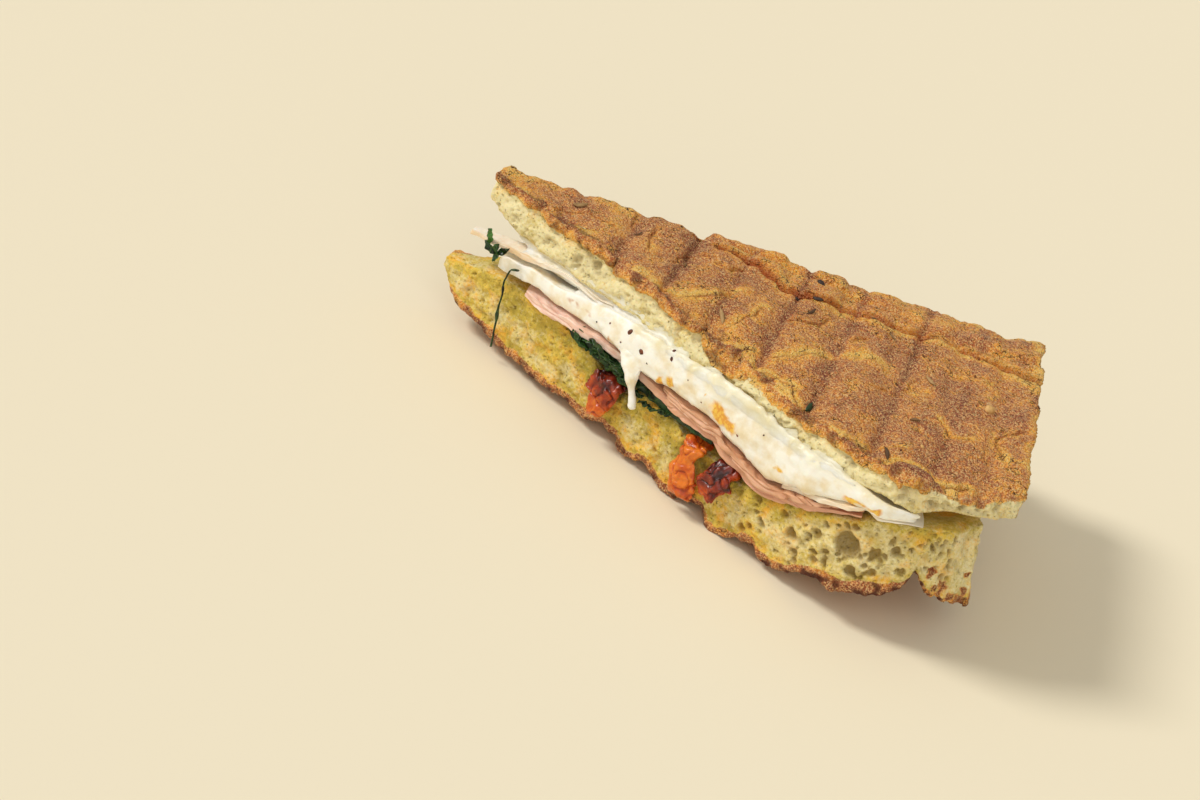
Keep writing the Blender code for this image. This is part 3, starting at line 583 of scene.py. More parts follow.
def grown_lower_bread(step):
    """The lower slab: a scalloped, spotted base crust, the notch, and a porous crumb soaked with oil."""
    mesh = bread_mesh("bread_lower", step)
    mesh = divided(mesh, spread(points_of(mesh), lean=True)[2] < 2.0)

    # the slab swells near the far end, and its base is bent by the ribs and the notch
    points = points_of(mesh)
    u, v, inside, line = spread(points, lean=True)
    x, z = CUT_RUN * u, points[:, 2]
    low, high = cut_heights(mesh, True)
    swell = smooth((x - 158) / 12) * (1 - smooth((x - 190) / 8)) * smooth(1 - (inside - 6) / 14)
    z += 1.8 * swell * smooth((z - along(high, x) + 8) / 8)
    flank = smooth((u - NOTCH_AT - 0.001) / 0.018) * (1 - smooth((u - 0.94) / 0.05)) * smooth(1 - inside / 26)
    near_base = 1 - smooth((z - along(low, x)) / 9)
    z -= 4.0 * flank * near_base
    z += along(SCALLOPS, x) * near_base * (1 - 0.6 * smooth((inside - 3) / 30))
    put_points(mesh, points)

    normals = normals_of(mesh)
    low, high = cut_heights(mesh, True)
    above, below_top = z - along(low, x), along(high, x) - z
    _, face, rim = bread_sides(normals, line, v, inside < 3.0)
    downward = smooth((-normals[:, 2] - 0.15) / 0.35) * (1 - face)
    end = smooth((u - 0.97) / 0.01) * (1 - face) * (np.abs(normals[:, 2]) < 0.75)
    crust_depth = along(LOWER_CRUST, x) + rough(points, (0.8, 4.0, 3.0), (0.5, 1.6, 9.0))
    edge = smooth((crust_depth - above) / 1.2 + 0.5) * face
    loose = shaken(points, 1.2, 2.0, 81.0, 85.0, 89.0)
    spots = np.zeros(len(points))
    for *middle, radius in END_SPOTS:
        spots = np.maximum(spots, smooth((1.9 - np.linalg.norm(loose - middle, axis=1) / radius) / 1.3))
    base = smooth((3.4 - above + 1.5 * grain(points, 3.5, 51.0)) / 1.4 + 0.5)
    crumb = np.maximum(face * (1 - edge), end * (1 - base))

    # lumps of the crust, and the crease that runs up from the notch
    lumps = rough(points, (0.9, 5.5, 1.0), (0.6, 2.4, 5.0))
    fine = grain(points, 1.3, 7.0)
    push = downward * (lumps * 0.7 + 0.2 * fine) + edge * (0.9 * lumps + 0.5 + 0.35 * fine)
    push -= 0.7 * rib_mark(u, inside, 0.006) * downward
    off_notch = u - NOTCH_AT - 0.0006 * above
    crease = hump(off_notch / 0.0045) * (1 - smooth((above - 3) / 9))
    push -= 1.9 * crease * (face + downward * smooth(1 - inside / 30))
    push -= 1.2 * hump(off_notch / 0.008) * smooth((above - 2) / 6) * face

    # pores and hollows of the crumb, on the cut face and on the bare far end; their depth is also painted
    # into the colour as shade
    holes = pores(13, 110, (0.4, 0.8), (2, 128), low, high, (1.8, 1.0))
    holes += pores(15, 95, (0.7, 1.6), (128, 200), low, high, (1.8, 1.0))
    deep = np.maximum(dug(x, points, holes, 1.15), dug(x, points, WIDE_HOLES, 0.9)) * face * (1 - edge)
    end_holes = pores(21, 120, (0.6, 1.7), (26, 112), ((0, 16),), ((0, 37),))
    deep = np.maximum(deep, end * (1 - base) * dug(points[:, 1], points, end_holes, 1.1))
    hollow = np.clip(grain(points * np.array([0.7, 1, 1]), 3.0, 13.0), -1, 0.3)
    push += crumb * (0.9 * hollow + 0.42 * grain(points, 1.3, 19.0)) - deep * 0.95
    push += rim * 0.5 * grain(points, 3.5, 37.0) + end * 0.9 * grain(points, 9.0, 38.0)
    moved = points + normals * push[:, None]
    moved[:, 2] = np.maximum(moved[:, 2], -TIP.z / MM + ABOVE_FLOOR)
    put_points(mesh, moved)

    # oil soaked in from the fillings, green near them, and how well each spot is baked
    near_top = smooth(1 - below_top / (along(STAIN_REACH, x) * (1 + 0.55 * grain(points, 9, 21.0))))
    fed = near_top * along(STAIN_STRENGTH, x)
    soaked = fed + 0.4 * smooth(1 - (above - crust_depth) / 3.5)
    soaked += (0.62 + 0.5 * grain(points, 5.5, 27.0)) * (1 - 0.4 * smooth((x - 125) / 40))
    soaked += 0.6 * hump((x - 184) / 6) * smooth(1 - below_top / 12)
    soaked = soaked * face + 0.6 * end * smooth(grain(points, 9, 28.0) * 2 + 0.4)
    inner = smooth((normals[:, 2] - 0.2) / 0.3) * (1 - face)
    green = fed * smooth(grain(points, 7, 91.0) * 1.6 + 0.55) * smooth((x - 4) / 14)
    inner_green = inner * (0.4 + 0.6 * grain(points, 9, 93.0)) * (1 - smooth((x - 140) / 30))
    toast = 0.62 + rough(points, (0.4, 5.5, 43.0), (0.3, 2.2, 47.0))
    edge_toast = toast + 0.25 + 0.15 * smooth((x - 120) / 40) - 0.45 * smooth(above / 5)
    toast = np.where(spots > 0, 0.1 + 0.6 * spots, np.where(edge > 0.2, edge_toast, toast))
    right = smooth((x - 135) / 25)
    char = edge * smooth(grain(points, 2.8, 71.0) * 3.6 - 0.2 + 0.6 * right)
    char *= smooth(1.3 - above / (3.0 + 3.5 * right))
    base_char = 0.6 * downward * smooth(grain(points, 6, 73.0) * 2)
    spot_char = 0.35 * smooth(spots * 2 - 1)
    # painted shade: the crease up from the notch is darkened as a shadow line on the cut face
    put_masks(mesh, crust=np.maximum.reduce([downward, edge, rim, end * base, spots]),
              toast=toast * (1 - 0.35 * rim - 0.3 * end),
              deep=deep / 1.2 + 0.7 * np.clip(-hollow, 0, 1) * crumb, torn=0 * toast,
              stain=np.maximum(soaked, inner * (0.75 + 0.4 * grain(points, 8, 33.0))),
              green=np.maximum(green, inner_green),
              char=np.maximum.reduce([char, base_char, spot_char, 0.8 * crease * face]))
    return mesh


def ciabatta_finish(colours):
    """Ciabatta baked on semolina: a dry, leathery brown crust over an open, creamy crumb."""
    made, node, place, crust, toast, deep, torn, stain, green, char = blank(
        "baked ciabatta", "crust", "toast", "deep", "torn", "stain", "green", "char")
    # baking blotches of 2.5 mm, flecks of 0.5 mm, mottling of 1.1 mm, blotches of 11 mm and the drying
    # pattern of the skin, 8 mm wide; the semolina grits lie 0.9 mm apart
    blotch, grains, mottle, broad, dried = [
        node("TexNoise", {"Vector": place, "Scale": scale, "Detail": detail, "Roughness": roughness})
        for scale, detail, roughness in ((400, 3, 0.6), (2000, 2, 0.6), (900, 2, 0.6), (90, 2, 0.5),
                                         (125, 4, 0.55))]
    grit = node("TexVoronoi", {"Vector": place, "Scale": 1100.0})
    chance = node("SeparateColor", {"Color": grit.outputs["Color"]})
    # fine tears where the skin dried: the lines of its pattern, in patches, with one side lifted
    beside = node("Math", (dried, -0.5), operation="ADD")
    off_tear = node("Math", (beside,), operation="ABSOLUTE")
    where = node("MapRange", (broad, 0.47, 0.53))
    line = node("MapRange", (off_tear, 0.012, 0.002))
    tear = node("Math", (line, where), operation="MULTIPLY")
    band = node("MapRange", (off_tear, 0.045, 0.01, 0.0, 0.3))
    margin = node("Math", (band, where), operation="MULTIPLY")

    uneven = node("MapRange", (blotch, 0.3, 0.7, -0.12, 0.12))
    specked = node("MapRange", (mottle, 0.36, 0.64, 0.16, -0.16))
    mixed = node("Math", (uneven, specked), operation="ADD")
    baked = node("Math", (toast, mixed), operation="ADD")
    pale = node("Math", (baked, margin), operation="SUBTRACT")
    skin = node("ValToRGB", (pale,), ((0.0, "#FFCC66"), (0.16, "#FFB644"), (0.4, colours.golden_crust),
                                      (0.66, colours.brown_crust), (1.0, colours.dark_crust)))
    bright = node("MapRange", (grains, 0.52, 0.58, 0.0, 0.7))
    dull = node("MapRange", (grains, 0.47, 0.4, 0.0, 0.8))
    baked_on = node("MapRange", (pale, 0.1, 0.5, 0.3))
    dulled = node("Math", (dull, baked_on), operation="MULTIPLY")
    # the near-black brown is char on the crusts, and painted shade on the crack floors and in the notch's
    # crease
    for share, over, blend in ((bright, "#FBD08C", "MIX"), (dulled, "#DDB8A0", "MULTIPLY"),
                               (tear, "#7A3F1C", "MIX"), (char, "#5E2A0E", "MIX"), (torn, "#B4541A", "MIX")):
        skin = node("Mix", {0: share, 6: skin, 7: over}, data_type="RGBA", blend_type=blend)

    # cells of the crumb, 1.4 mm along the slab and 1 mm across, with their walls between
    drawn = node("Mapping", {"Vector": place, "Scale": (0.75, 1.0, 1.0)})
    bent = node("Mix", {0: 0.0011, 4: drawn, 5: blotch.outputs["Color"]}, data_type="VECTOR")
    cells = node("TexVoronoi", {"Vector": bent, "Scale": 900.0, "Detail": 1.0, "Roughness": 0.6,
                                "Lacunarity": 2.3})
    wall = node("MapRange", (cells, 0.12, 0.55))
    crumb = node("ValToRGB", (wall,), ((0.0, colours.crumb_shade), (0.7, colours.crumb)))
    oily = node("ValToRGB", (dried,), ((0.42, "#C3A83C"), (0.51, "#DDBC48"), (0.6, "#EBB032")))
    pesto = node("ValToRGB", (blotch,), ((0.36, "#736C14"), (0.6, "#B8A02C")))
    herby = node("Mix", {0: green, 6: oily, 7: pesto}, data_type="RGBA")
    soaked = node("Math", (mottle, 1.6, stain), operation="MULTIPLY_ADD")
    soak = node("MapRange", (soaked, 0.8, 1.75, 0.0, 0.95))
    sunk = node("Math", (deep, 0.7), operation="MULTIPLY")
    fleck = node("MapRange", (grains, 0.43, 0.3, 0.0, 0.5))
    threads = node("Math", (fleck, soak), operation="MULTIPLY")
    ragged = node("Math", (grains, -0.5), operation="ADD")
    border = node("Math", (crust, ragged), operation="ADD")
    crisp = node("MapRange", (border, 0.35, 0.65), interpolation_type="SMOOTHSTEP")
    # the dark olive brown is painted shade, where the crumb sinks into its holes and hollows
    for share, over in ((soak, herby), (sunk, "#7C5C1C"), (threads, "#84682A"), (crisp, skin)):
        crumb = node("Mix", {0: share, 6: crumb, 7: over}, data_type="RGBA")
    dry = node("MapRange", (crisp, 0.0, 1.0, 0.85, 0.5))

    # the crumb's finest cells and the grits stand too low for the mesh
    off_grit = node("Math", (chance, 0.45, grit), operation="MULTIPLY_ADD")
    raised = node("MapRange", (off_grit, 0.6, 0.2))
    gritty = node("Math", (grains, 1.6, raised), operation="MULTIPLY_ADD")
    pits = node("Mix", {0: crisp, 2: wall, 3: gritty})
    relief = node("Bump", {"Height": pits, "Strength": 0.9, "Distance": 0.0008})
    lifted = node("MapRange", (beside, -0.01, 0.014))
    ledge = node("Math", (lifted, tear), operation="SUBTRACT")
    patchy = node("Math", (ledge, where), operation="MULTIPLY")
    flaky = node("Math", (patchy, crisp), operation="MULTIPLY")
    flakes = node("Bump", {"Height": flaky, "Strength": 0.7, "Distance": 0.0007, "Normal": relief})
    coarse = node("Bump", {"Height": blotch, "Strength": 0.6, "Distance": 0.0014, "Normal": flakes})
    return finished(made, {"Base Color": crumb, "Roughness": dry, "Normal": coarse, "IOR": 1.42,
                           "Specular IOR Level": 0.45}, (0.12, (0.0022, 0.0014, 0.0006)))


def spots_on(points, spots):
    """How strongly each point is marked by the oval spots, seen square to the cut."""
    marked = [smooth(1.25 - oval(points[:, 0] - x, points[:, 2] - z, length, height, tilt))
              for x, z, length, height, tilt in spots]
    return np.max(marked, axis=0)


def grown_cheese():
    """The melted slice: lumpy where it bulges from the cut, sagging, and thin at its far end."""
    mesh = node_mesh("cheese", ("SUBSURF", {"levels": 2, "render_levels": 2}))
    points = points_of(mesh)
    mesh = divided(mesh, (points[:, 1] < 1.5) & (points[:, 0] < 190))
    points = points_of(mesh)
    soften(mesh, (points[:, 1] < 5) & (points[:, 2] > 33.5), 14)
    points, normals = points_of(mesh), normals_of(mesh)
    x, y, z = points.T
    out = smooth((0.5 - y) / 1.5)
    push = rough(points * np.array([0.45, 1.0, 1.3]), (0.7, 7.0, 1.0), (0.2, 2.2, 5.0))
    push += 0.5 * grain(points, 5.0, 7.0) + 0.7 * np.clip(grain(points, 3.0, 15.0) - 0.2, 0, 1)
    sag = smooth((x - 132) / 12) * smooth((-normals[:, 2] + 0.3) / 0.6) * smooth((3 - spread(points)[2]) / 3)
    z -= 1.3 * sag * (1 + 0.6 * grain(points, 7.0, 39.0))
    middle = 41 + 0.06 * (x - 150)
    z -= 0.5 * (z - middle) * smooth((x - 146) / 28)
    y += 2.5 * smooth((x - 166) / 9) * smooth((14 - y) / 8)
    put_points(mesh, points + normals * (push * out)[:, None])
    for start in (150, 164, 170, 174):
        soften(mesh, x > start, 10)
    upper = smooth((z - along(VEIL_LINE, x) + 4.5 + 2 * grain(points, 6, 53.0)) / 5)
    tail = smooth((x - 168) / 8) * (0.7 + 0.5 * grain(points, 3, 57.0))
    put_masks(mesh, oil=spots_on(shaken(points, 1.3, 1.8, 31.0, 33.0, 37.0), OIL_SPOTS) * out,
              toast=spots_on(points, TOASTED_SPOTS) * out * smooth(grain(points, 1.6, 35.0) * 2 + 0.4),
              thin=np.maximum(0.75 * upper, tail))
    return mesh


def cheese_veil():
    """Cheese that clings to the crumb above the cut: a grid laid on the bread and the cheese behind it."""
    bm = bmesh.new()
    made = bmesh.ops.create_grid(bm, x_segments=260, y_segments=24, size=0.5)["verts"]
    behind = [surface(name) for name in ("upper_bread_baked", "melted_cheese", "turkey_corner")]
    first, last = VEIL_LINE[0][0], VEIL_LINE[-1][0]
    thin = []
    for vert in made:
        share = vert.co.y + 0.5
        x = first + (last - first) * (vert.co.x + 0.5)
        rise = 2.0 + 3.4 * noise.noise(Vector((x / 8, 3.1, 0))) + 1.6 * noise.noise(Vector((x / 2.8, 7.7, 0)))
        fade = min(1.0, (x - first) / 8, (last - x) / 10)
        drop = along(VEIL_DROP, x) * (0.25 + 0.75 * fade)
        z = along(VEIL_LINE, x) - drop + (drop + max(rise, 0.1) * fade) * share
        hits = [from_front(tree, x, z)[0] for tree in behind]
        depth = min([(hit.y - TIP.y) / MM for hit in hits if hit] + [2.2])
        sink = 0.5 * share ** 3 + 1.3 * (1 - share) ** 3 - 0.3
        vert.co = Vector((x, max(depth, -5.5) + sink, z)) * MM + TIP
        thin.append(share)
    relax(bm, [v for v in made if not v.is_boundary], 14, 0.5)
    mesh = mesh_of(bm)
    put_masks(mesh, thin=np.array(thin))
    return modified(mesh, ("SOLIDIFY", {"thickness": 0.5 * MM, "offset": -1.0}))


def mozzarella_finish(colours):
    """Melted mozzarella: soft, wet and slightly see-through, with oil run out of it and toasted freckles."""
    made, node, place, oil, toast, thin = blank("melted mozzarella", "oil", "toast", "thin")
    curd = node("TexNoise", {"Vector": place, "Scale": 140.0, "Detail": 4.0, "Roughness": 0.55})
    fine = node("TexNoise", {"Vector": place, "Scale": 900.0, "Detail": 2.0})
    milk = node("ValToRGB", (curd,), ((0.36, colours.cheese_shade), (0.54, colours.cheese)))
    worn = node("MapRange", (thin, 0.35, 1.0, 0.0, 0.8))
    patchy = node("Math", (oil, curd), operation="MULTIPLY")
    run = node("MapRange", (patchy, 0.06, 0.4, 0.0, 0.95))
    warm = node("ValToRGB", (fine,), ((0.4, "#E39A20"), (0.56, "#F6C644")))
    for share, over in ((worn, colours.crumb), (run, warm), (toast, "#C07A34")):
        milk = node("Mix", {0: share, 6: milk, 7: over}, data_type="RGBA")
    wet = node("MapRange", (curd, 0.3, 0.7, 0.26, 0.46))
    relief = node("Bump", {"Height": fine, "Strength": 0.25, "Distance": 0.0004})
    return finished(made, {"Base Color": milk, "Roughness": wet, "Normal": relief, "IOR": 1.44},
                    (0.35, (0.003, 0.0026, 0.002)))


def grown_slice(node, edge, seed, layers=0.0):
    """A slice with a finer, frayed edge at the cut, and grooves between the layers that show there."""
    mesh = node_mesh(node, ("SUBSURF", {"levels": 1, "render_levels": 1, "subdivision_type": "SIMPLE"}))
    for reach in (9.0, 5.0, 3.0):
        mesh = divided(mesh, spread(points_of(mesh))[2] < reach)
    points = points_of(mesh)
    soften(mesh, (spread(points)[2] < 6) | (points[:, 0] > 150), 3, 0.5)
    points, normals = points_of(mesh), normals_of(mesh)
    x, y, z = points.T
    if node == "turkey_end":
        tail, last = smooth((x - 157) / 6), smooth((x - 166) / 9)
        z += tail * (1.7 - (0.5 + 0.4 * last) * (z - 37.2 - 0.12 * (x - 164)))
        y += 1.6 * tail + 2.5 * last
    if node in HAM_TOP:
        last = smooth((x - 144) / 15)
        z += 0.7 * last * (HAM_TOP[node] + 0.35 * (x - 148) - z)
        y += last
    out = smooth((1.2 - spread(points)[2]) / 2.5)
    stretched = points * np.array([0.35, 0.6, 1.0])
    push = edge * (0.35 * grain(stretched, 1.6, seed) + 0.4 * grain(points, 3.0, seed + 4)) * out
    bands = np.zeros(len(points))
    if layers:
        waves = z * layers + 1.6 * grain(stretched, 5.0, seed + 8)
        bands = np.clip(1 - np.abs(np.mod(waves, 1.0) - 0.5) * 5, 0, 1)
        push -= 0.3 * edge * bands * out
    put_points(mesh, points + normals * push[:, None])
    put_masks(mesh, groove=bands * out, rim=out, brown=smooth((x - 72) / 14))
    return mesh


def sliced_meat_finish(name, light, dark, rim_colour, groove_shade_colour, rim_share, browned=None):
    """Cooked sliced meat: moist and close-grained, its fibres drawn out along the slice."""
    made, node, place, rim, groove, brown = blank(name, "rim", "groove", "brown")
    drawn = node("Mapping", {"Vector": place, "Scale": (0.35, 0.6, 1.6)})
    fibre = node("TexNoise", {"Vector": drawn, "Scale": 700.0, "Detail": 4.0, "Roughness": 0.6})
    broad = node("TexNoise", {"Vector": place, "Scale": 120.0, "Detail": 2.0})
    flesh = node("ValToRGB", (fibre,), ((0.33, dark), (0.62, light)))
    outer = node("Math", (rim, broad), operation="MULTIPLY")
    singed = node("MapRange", (outer, 0.4, 0.66, 0.0, rim_share))
    # painted shade in the grooves between the layers
    groove_shade = node("Math", (groove, 0.45), operation="MULTIPLY")
    for share, over in ((brown, browned or light), (singed, rim_colour), (groove_shade, groove_shade_colour)):
        flesh = node("Mix", {0: share, 6: flesh, 7: over}, data_type="RGBA")
    relief = node("Bump", {"Height": fibre, "Strength": 0.5, "Distance": 0.0005})
    return finished(made, {"Base Color": flesh, "Normal": relief, "Roughness": 0.4, "IOR": 1.4},
                    (0.2, (0.002, 0.0012, 0.0009)))


def wilted_leaf_finish(colours):
    """Wilted spinach: thin, wet and almost black green, with paler veins."""
    made, node, place, young = blank("wilted spinach", "young")
    veins = node("TexVoronoi", {"Vector": place, "Scale": 260.0}, feature="DISTANCE_TO_EDGE")
    tone = node("TexNoise", {"Vector": place, "Scale": 350.0, "Detail": 3.0})
    leaf = node("ValToRGB", (tone,), ((0.35, "#0B1408"), (0.65, colours.leaf)))
    vein = node("MapRange", (veins, 0.06, 0.0, 0.0, 0.5))
    for share, over in ((vein, "#4E6B2C"), (young, "#4C7E34")):
        leaf = node("Mix", {0: share, 6: leaf, 7: over}, data_type="RGBA")
    relief = node("Bump", {"Height": veins, "Strength": 0.6, "Distance": 0.0008})
    return finished(made, {"Base Color": leaf, "Normal": relief, "Roughness": 0.34,
                           "Specular IOR Level": 0.35}, (0.1, (0.0006, 0.001, 0.0003)))


def dried_tomato_finish(colours):
    """Oil-soaked dried tomato: glossy and wrinkled, nearly black where thick and orange where thin."""
    made, node, place, ripe = blank("dried tomato", "ripe")
    tone = node("TexNoise", {"Vector": place, "Scale": 300.0, "Detail": 3.0, "Roughness": 0.6})
    mixed = node("Math", (tone, -0.5), operation="ADD")
    varied = node("Math", (mixed, ripe), operation="ADD")
    flesh = node("ValToRGB", (varied,), ((0.1, "#3A1009"), (0.4, colours.tomato), (0.68, "#BE4A0E"),
                                         (0.95, "#E27A1E")))
    relief = node("Bump", {"Height": tone, "Strength": 0.6, "Distance": 0.0008})
    return finished(made, {"Base Color": flesh, "Normal": relief, "Roughness": 0.34, "IOR": 1.45,
                           "Coat Weight": 0.15, "Coat Roughness": 0.12}, (0.25, (0.002, 0.0006, 0.0003)))


def dried_herb_finish():
    """Dried rosemary and thyme: dull, straw to nearly black, lined along the needle."""
    made, node, place, tint = blank("dried herb", "tint")
    lines = node("TexNoise", {"Vector": place, "Scale": 900.0, "Detail": 2.0})
    tone = node("ValToRGB", (tint,), ((0.0, "#CBA66A"), (0.25, "#8A6536"), (0.5, "#3B2617"),
                                      (0.75, "#27481F"), (1.0, "#FFCF80")))
    shade = node("Mix", {0: lines, 6: tone, 7: "#A38C6C"}, data_type="RGBA", blend_type="MULTIPLY")
    relief = node("Bump", {"Height": lines, "Strength": 0.5, "Distance": 0.0004})
    return finished(made, {"Base Color": shade, "Normal": relief, "Roughness": 0.6})


def pepper_finish():
    """Cracked peppercorn and chilli: dark brown chips with a reddish break."""
    made, node, place = blank("cracked pepper")
    tone = node("TexNoise", {"Vector": place, "Scale": 1200.0, "Detail": 2.0})
    chips = node("ValToRGB", (tone,), ((0.35, "#2E1209"), (0.6, "#7A3A16")))
    return finished(made, {"Base Color": chips, "Roughness": 0.5})


def grown_tomato(node, seed, ripe_low, ripe_high):
    """A piece of dried tomato: swollen, shrunk and wrinkled."""
    mesh = node_mesh(node, ("SUBSURF", {"levels": 3, "render_levels": 3}))
    points, normals = points_of(mesh), normals_of(mesh)
    tall = (points[:, 2] - points[:, 2].min()) / np.ptp(points[:, 2])
    wrinkle = veined(points, 3.4, seed, 0.16)
    push = rough(points, (1.5, 5.0, seed + 8), (0.7, 2.4, seed + 2), (0.3, 1.1, seed + 4)) - 0.7 * wrinkle
    bent = shaken(points, np.array([1.6, 0.4, 1.6]), 4.2, seed + 11, seed + 13, seed + 17)
    put_points(mesh, bent + normals * push[:, None])
    ripe = ripe_low + (ripe_high - ripe_low) * tall + 0.3 * grain(points, 4.5, seed + 6) - 0.25 * wrinkle
    put_masks(mesh, ripe=ripe)
    return mesh


def leaf_sheet(bm, middle, rib, across, length, width, crumple, seed, young=0.0):
    """A crumpled leaf: a grid pinched to its ends, folded along its rib, and given a little thickness."""
    shade = bm.verts.layers.float.get("young") or bm.verts.layers.float.new("young")
    made = bmesh.ops.create_grid(bm, x_segments=16, y_segments=8, size=0.5)["verts"]
    middle, rib, across = Vector(middle), Vector(rib).normalized(), Vector(across).normalized()
    up = rib.cross(across).normalized()
    for vert in made:
        s, t = vert.co.x, vert.co.y
        wide = width * (max(math.cos(math.pi * s), 0.0) ** 0.7) + 0.12
        fold = 0.35 * width * abs(t) * 2
        wave = crumple * noise.noise(Vector((s * 3.1, t * 2.3, seed)))
        curl = crumple * noise.noise(Vector((s * 6.5, t * 5.0, seed + 9)))
        place = middle + rib * s * length + across * (t * wide + 0.4 * curl) + up * (fold + wave + 0.5 * curl)
        vert.co = place * MM + TIP
        vert[shade] = young * (0.4 + abs(t) * 1.2)
    thicken(bm, made, 0.28 * MM)


def thicken(bm, made, thickness):
    """Gives the sheet of some vertices a thickness."""
    bmesh.ops.solidify(bm, geom=list({f for v in made for f in v.link_faces}), thickness=thickness)


def hanging_stalk(bm):
    """The stalk: a rod cut into rings that are laid along its path, thicker at its knots."""
    made = bmesh.ops.create_cone(bm, cap_ends=True, segments=9, radius1=1, radius2=1, depth=1)["verts"]
    sides = [e for v in made for e in v.link_edges if abs(e.verts[0].co.z - e.verts[1].co.z) > 0.5]
    bmesh.ops.subdivide_edges(bm, edges=list(set(sides)), cuts=70)
    shares = np.linspace(0, 1, len(STALK))
    for vert in bm.verts:
        t = vert.co.z + 0.5
        x = np.interp(t, shares, [p[0] for p in STALK]) + 0.25 * noise.noise(Vector((t * 9, 1.0, 2.0)))
        z = np.interp(t, shares, [p[1] for p in STALK])
        thick = along(STALK_THICK, t)
        ring = Vector((x + vert.co.x * thick, -3.0 + 0.6 * t + vert.co.y * thick, z + 0.15 * vert.co.x))
        vert.co = ring * MM + TIP
    relax(bm, bm.verts[:], 1, 0.3)


def surface(name):
    """A piece's surface, for dropping small things on."""
    mesh = bpy.data.objects[name].data
    return BVHTree.FromPolygons([v.co for v in mesh.vertices], [p.vertices for p in mesh.polygons])


def from_front(tree, x, z):
    """Where a line square to the cut meets a surface, and the way the surface faces there."""
    return tree.ray_cast(Vector((x, -30, z)) * MM + TIP, Vector((0, 1, 0)))[:2]


def dropped(tree, x, y):
    """Where something dropped at x, y lands, and the way the surface faces there."""
    above = Vector((x * MM, y * MM, 0.1)) + Vector((TIP.x, TIP.y, 0))
    spot, normal, _, _ = tree.ray_cast(above, Vector((0, 0, -1)))
    if spot is None:
        raise RuntimeError(f"nothing under {x}, {y}")
    return spot, normal


def laid(normal, turn):
    """The turn that lays a thing flat on a surface."""
    return Vector((0, 0, 1)).rotation_difference(normal).to_matrix().to_4x4() @ Matrix.Rotation(turn, 4, "Z")


def needle(bm, spot, normal, length, width, turn, number):
    """A dried leaf: a grid rolled along its length and bent, lying on the crust."""
    made = bmesh.ops.create_grid(bm, x_segments=10, y_segments=4, size=0.5)["verts"]
    lie = laid(normal, turn)
    for vert in made:
        s, t = vert.co.x, vert.co.y
        wide = width * (1 - (2 * abs(s)) ** 2.4) + 0.15
        arch = 0.28 * width * (1 - (2 * t) ** 2)
        bend = 0.7 * math.sin(3.0 * s + number)
        place = Vector((s * length, t * wide + bend * 0.5, 0.25 + arch + 0.25 * bend * bend))
        vert.co = lie @ (place * MM) + spot
    thicken(bm, made, -0.22 * MM)


def chip(bm, spot, normal, size, sides, number, tall=0.32):
    """A chip of pepper or crumb, pressed into what it lies on."""
    made = bmesh.ops.create_icosphere(bm, subdivisions=2, radius=size)["verts"]
    lie = laid(normal, number * 1.3)
    for vert in made:
        knock = 1 + 0.35 * noise.noise(vert.co / size * 1.4 + Vector((number * 3.1, 0, sides)))
        co = vert.co * knock
        vert.co = lie @ Vector((co.x, co.y * 0.7, co.z * tall)) + spot


class PaniniColours(bpy.types.PropertyGroup):
    """Colours that a cook would judge by eye, as sRGB hex."""

    brown_crust: StringProperty(name="Brown crust", description="Well baked crust", default="#CB814C")
    dark_crust: StringProperty(name="Dark crust", description="Crust under a rib", default="#9C5B3C")
    golden_crust: StringProperty(name="Golden crust", description="Crust in a crack", default="#F0A24A")
    crumb: StringProperty(name="Crumb", description="Plain crumb", default="#EBDDAA")
    crumb_shade: StringProperty(name="Crumb shade", description="Crumb in its hollows", default="#D6C278")
    cheese: StringProperty(name="Cheese", description="Melted cheese", default="#F9F4E6")
    cheese_shade: StringProperty(name="Cheese shade", description="Thin cheese", default="#ECDCB8")
    leaf: StringProperty(name="Leaf", description="Wilted spinach", default="#2B4620")
    tomato: StringProperty(name="Tomato", description="Dried tomato", default="#86290F")


class PaniniSizes(bpy.types.PropertyGroup):
    """Sizes of the finished meshes and of the stage."""

    bread_step: FloatProperty(name="Bread step", description="Mesh step of the breads in millimetres",
                              default=0.82, min=0.5, max=2.0)
    herb_width: FloatProperty(name="Herb width", description="Width of a herb needle in millimetres",
                              default=1.1, min=0.3, max=3.0)
    key_power: FloatProperty(name="Key light", description="Strength of the main soft light",
                             default=1.8, min=0.0, max=20.0)
    fill_power: FloatProperty(name="Fill light", description="Strength of the fill light",
                              default=0.75, min=0.0, max=20.0)
    lens: FloatProperty(name="Lens", description="Focal length in millimetres",
                        default=80.0, min=20.0, max=200.0)
    floor_tint: FloatVectorProperty(name="Floor", description="Floor colour, linear", subtype="COLOR",
                                    size=3, default=linear("#F6E9CB")[:3], min=0.0, max=1.0)
    pepper_sides: IntProperty(name="Pepper sides", description="Sides of a pepper chip",
                              default=7, min=4, max=16)


class PANINI_OT_upper_bread(bpy.types.Operator):
    """Bakes the upper slab: ribbed, cracked crust above an open crumb"""

    bl_idname = "panini.upper_bread"
    bl_label = "Upper Bread"

    def execute(self, context):
        mesh = grown_upper_bread(context.scene.panini_sizes.bread_step)
        as_piece(mesh, "upper_bread_baked", bread_finish(context), "bread", "bread_upper")
        return {"FINISHED"}


class PANINI_OT_lower_bread(bpy.types.Operator):
    """Bakes the lower slab: spotted base crust below a crumb soaked with green oil"""

    bl_idname = "panini.lower_bread"
    bl_label = "Lower Bread"

    def execute(self, context):
        mesh = grown_lower_bread(context.scene.panini_sizes.bread_step)
        as_piece(mesh, "lower_bread_baked", bread_finish(context), "bread", "bread_lower")
        return {"FINISHED"}


def bread_finish(context):
    """The material that both slabs share."""
    return bpy.data.materials.get("baked ciabatta") or ciabatta_finish(context.scene.panini_colours)


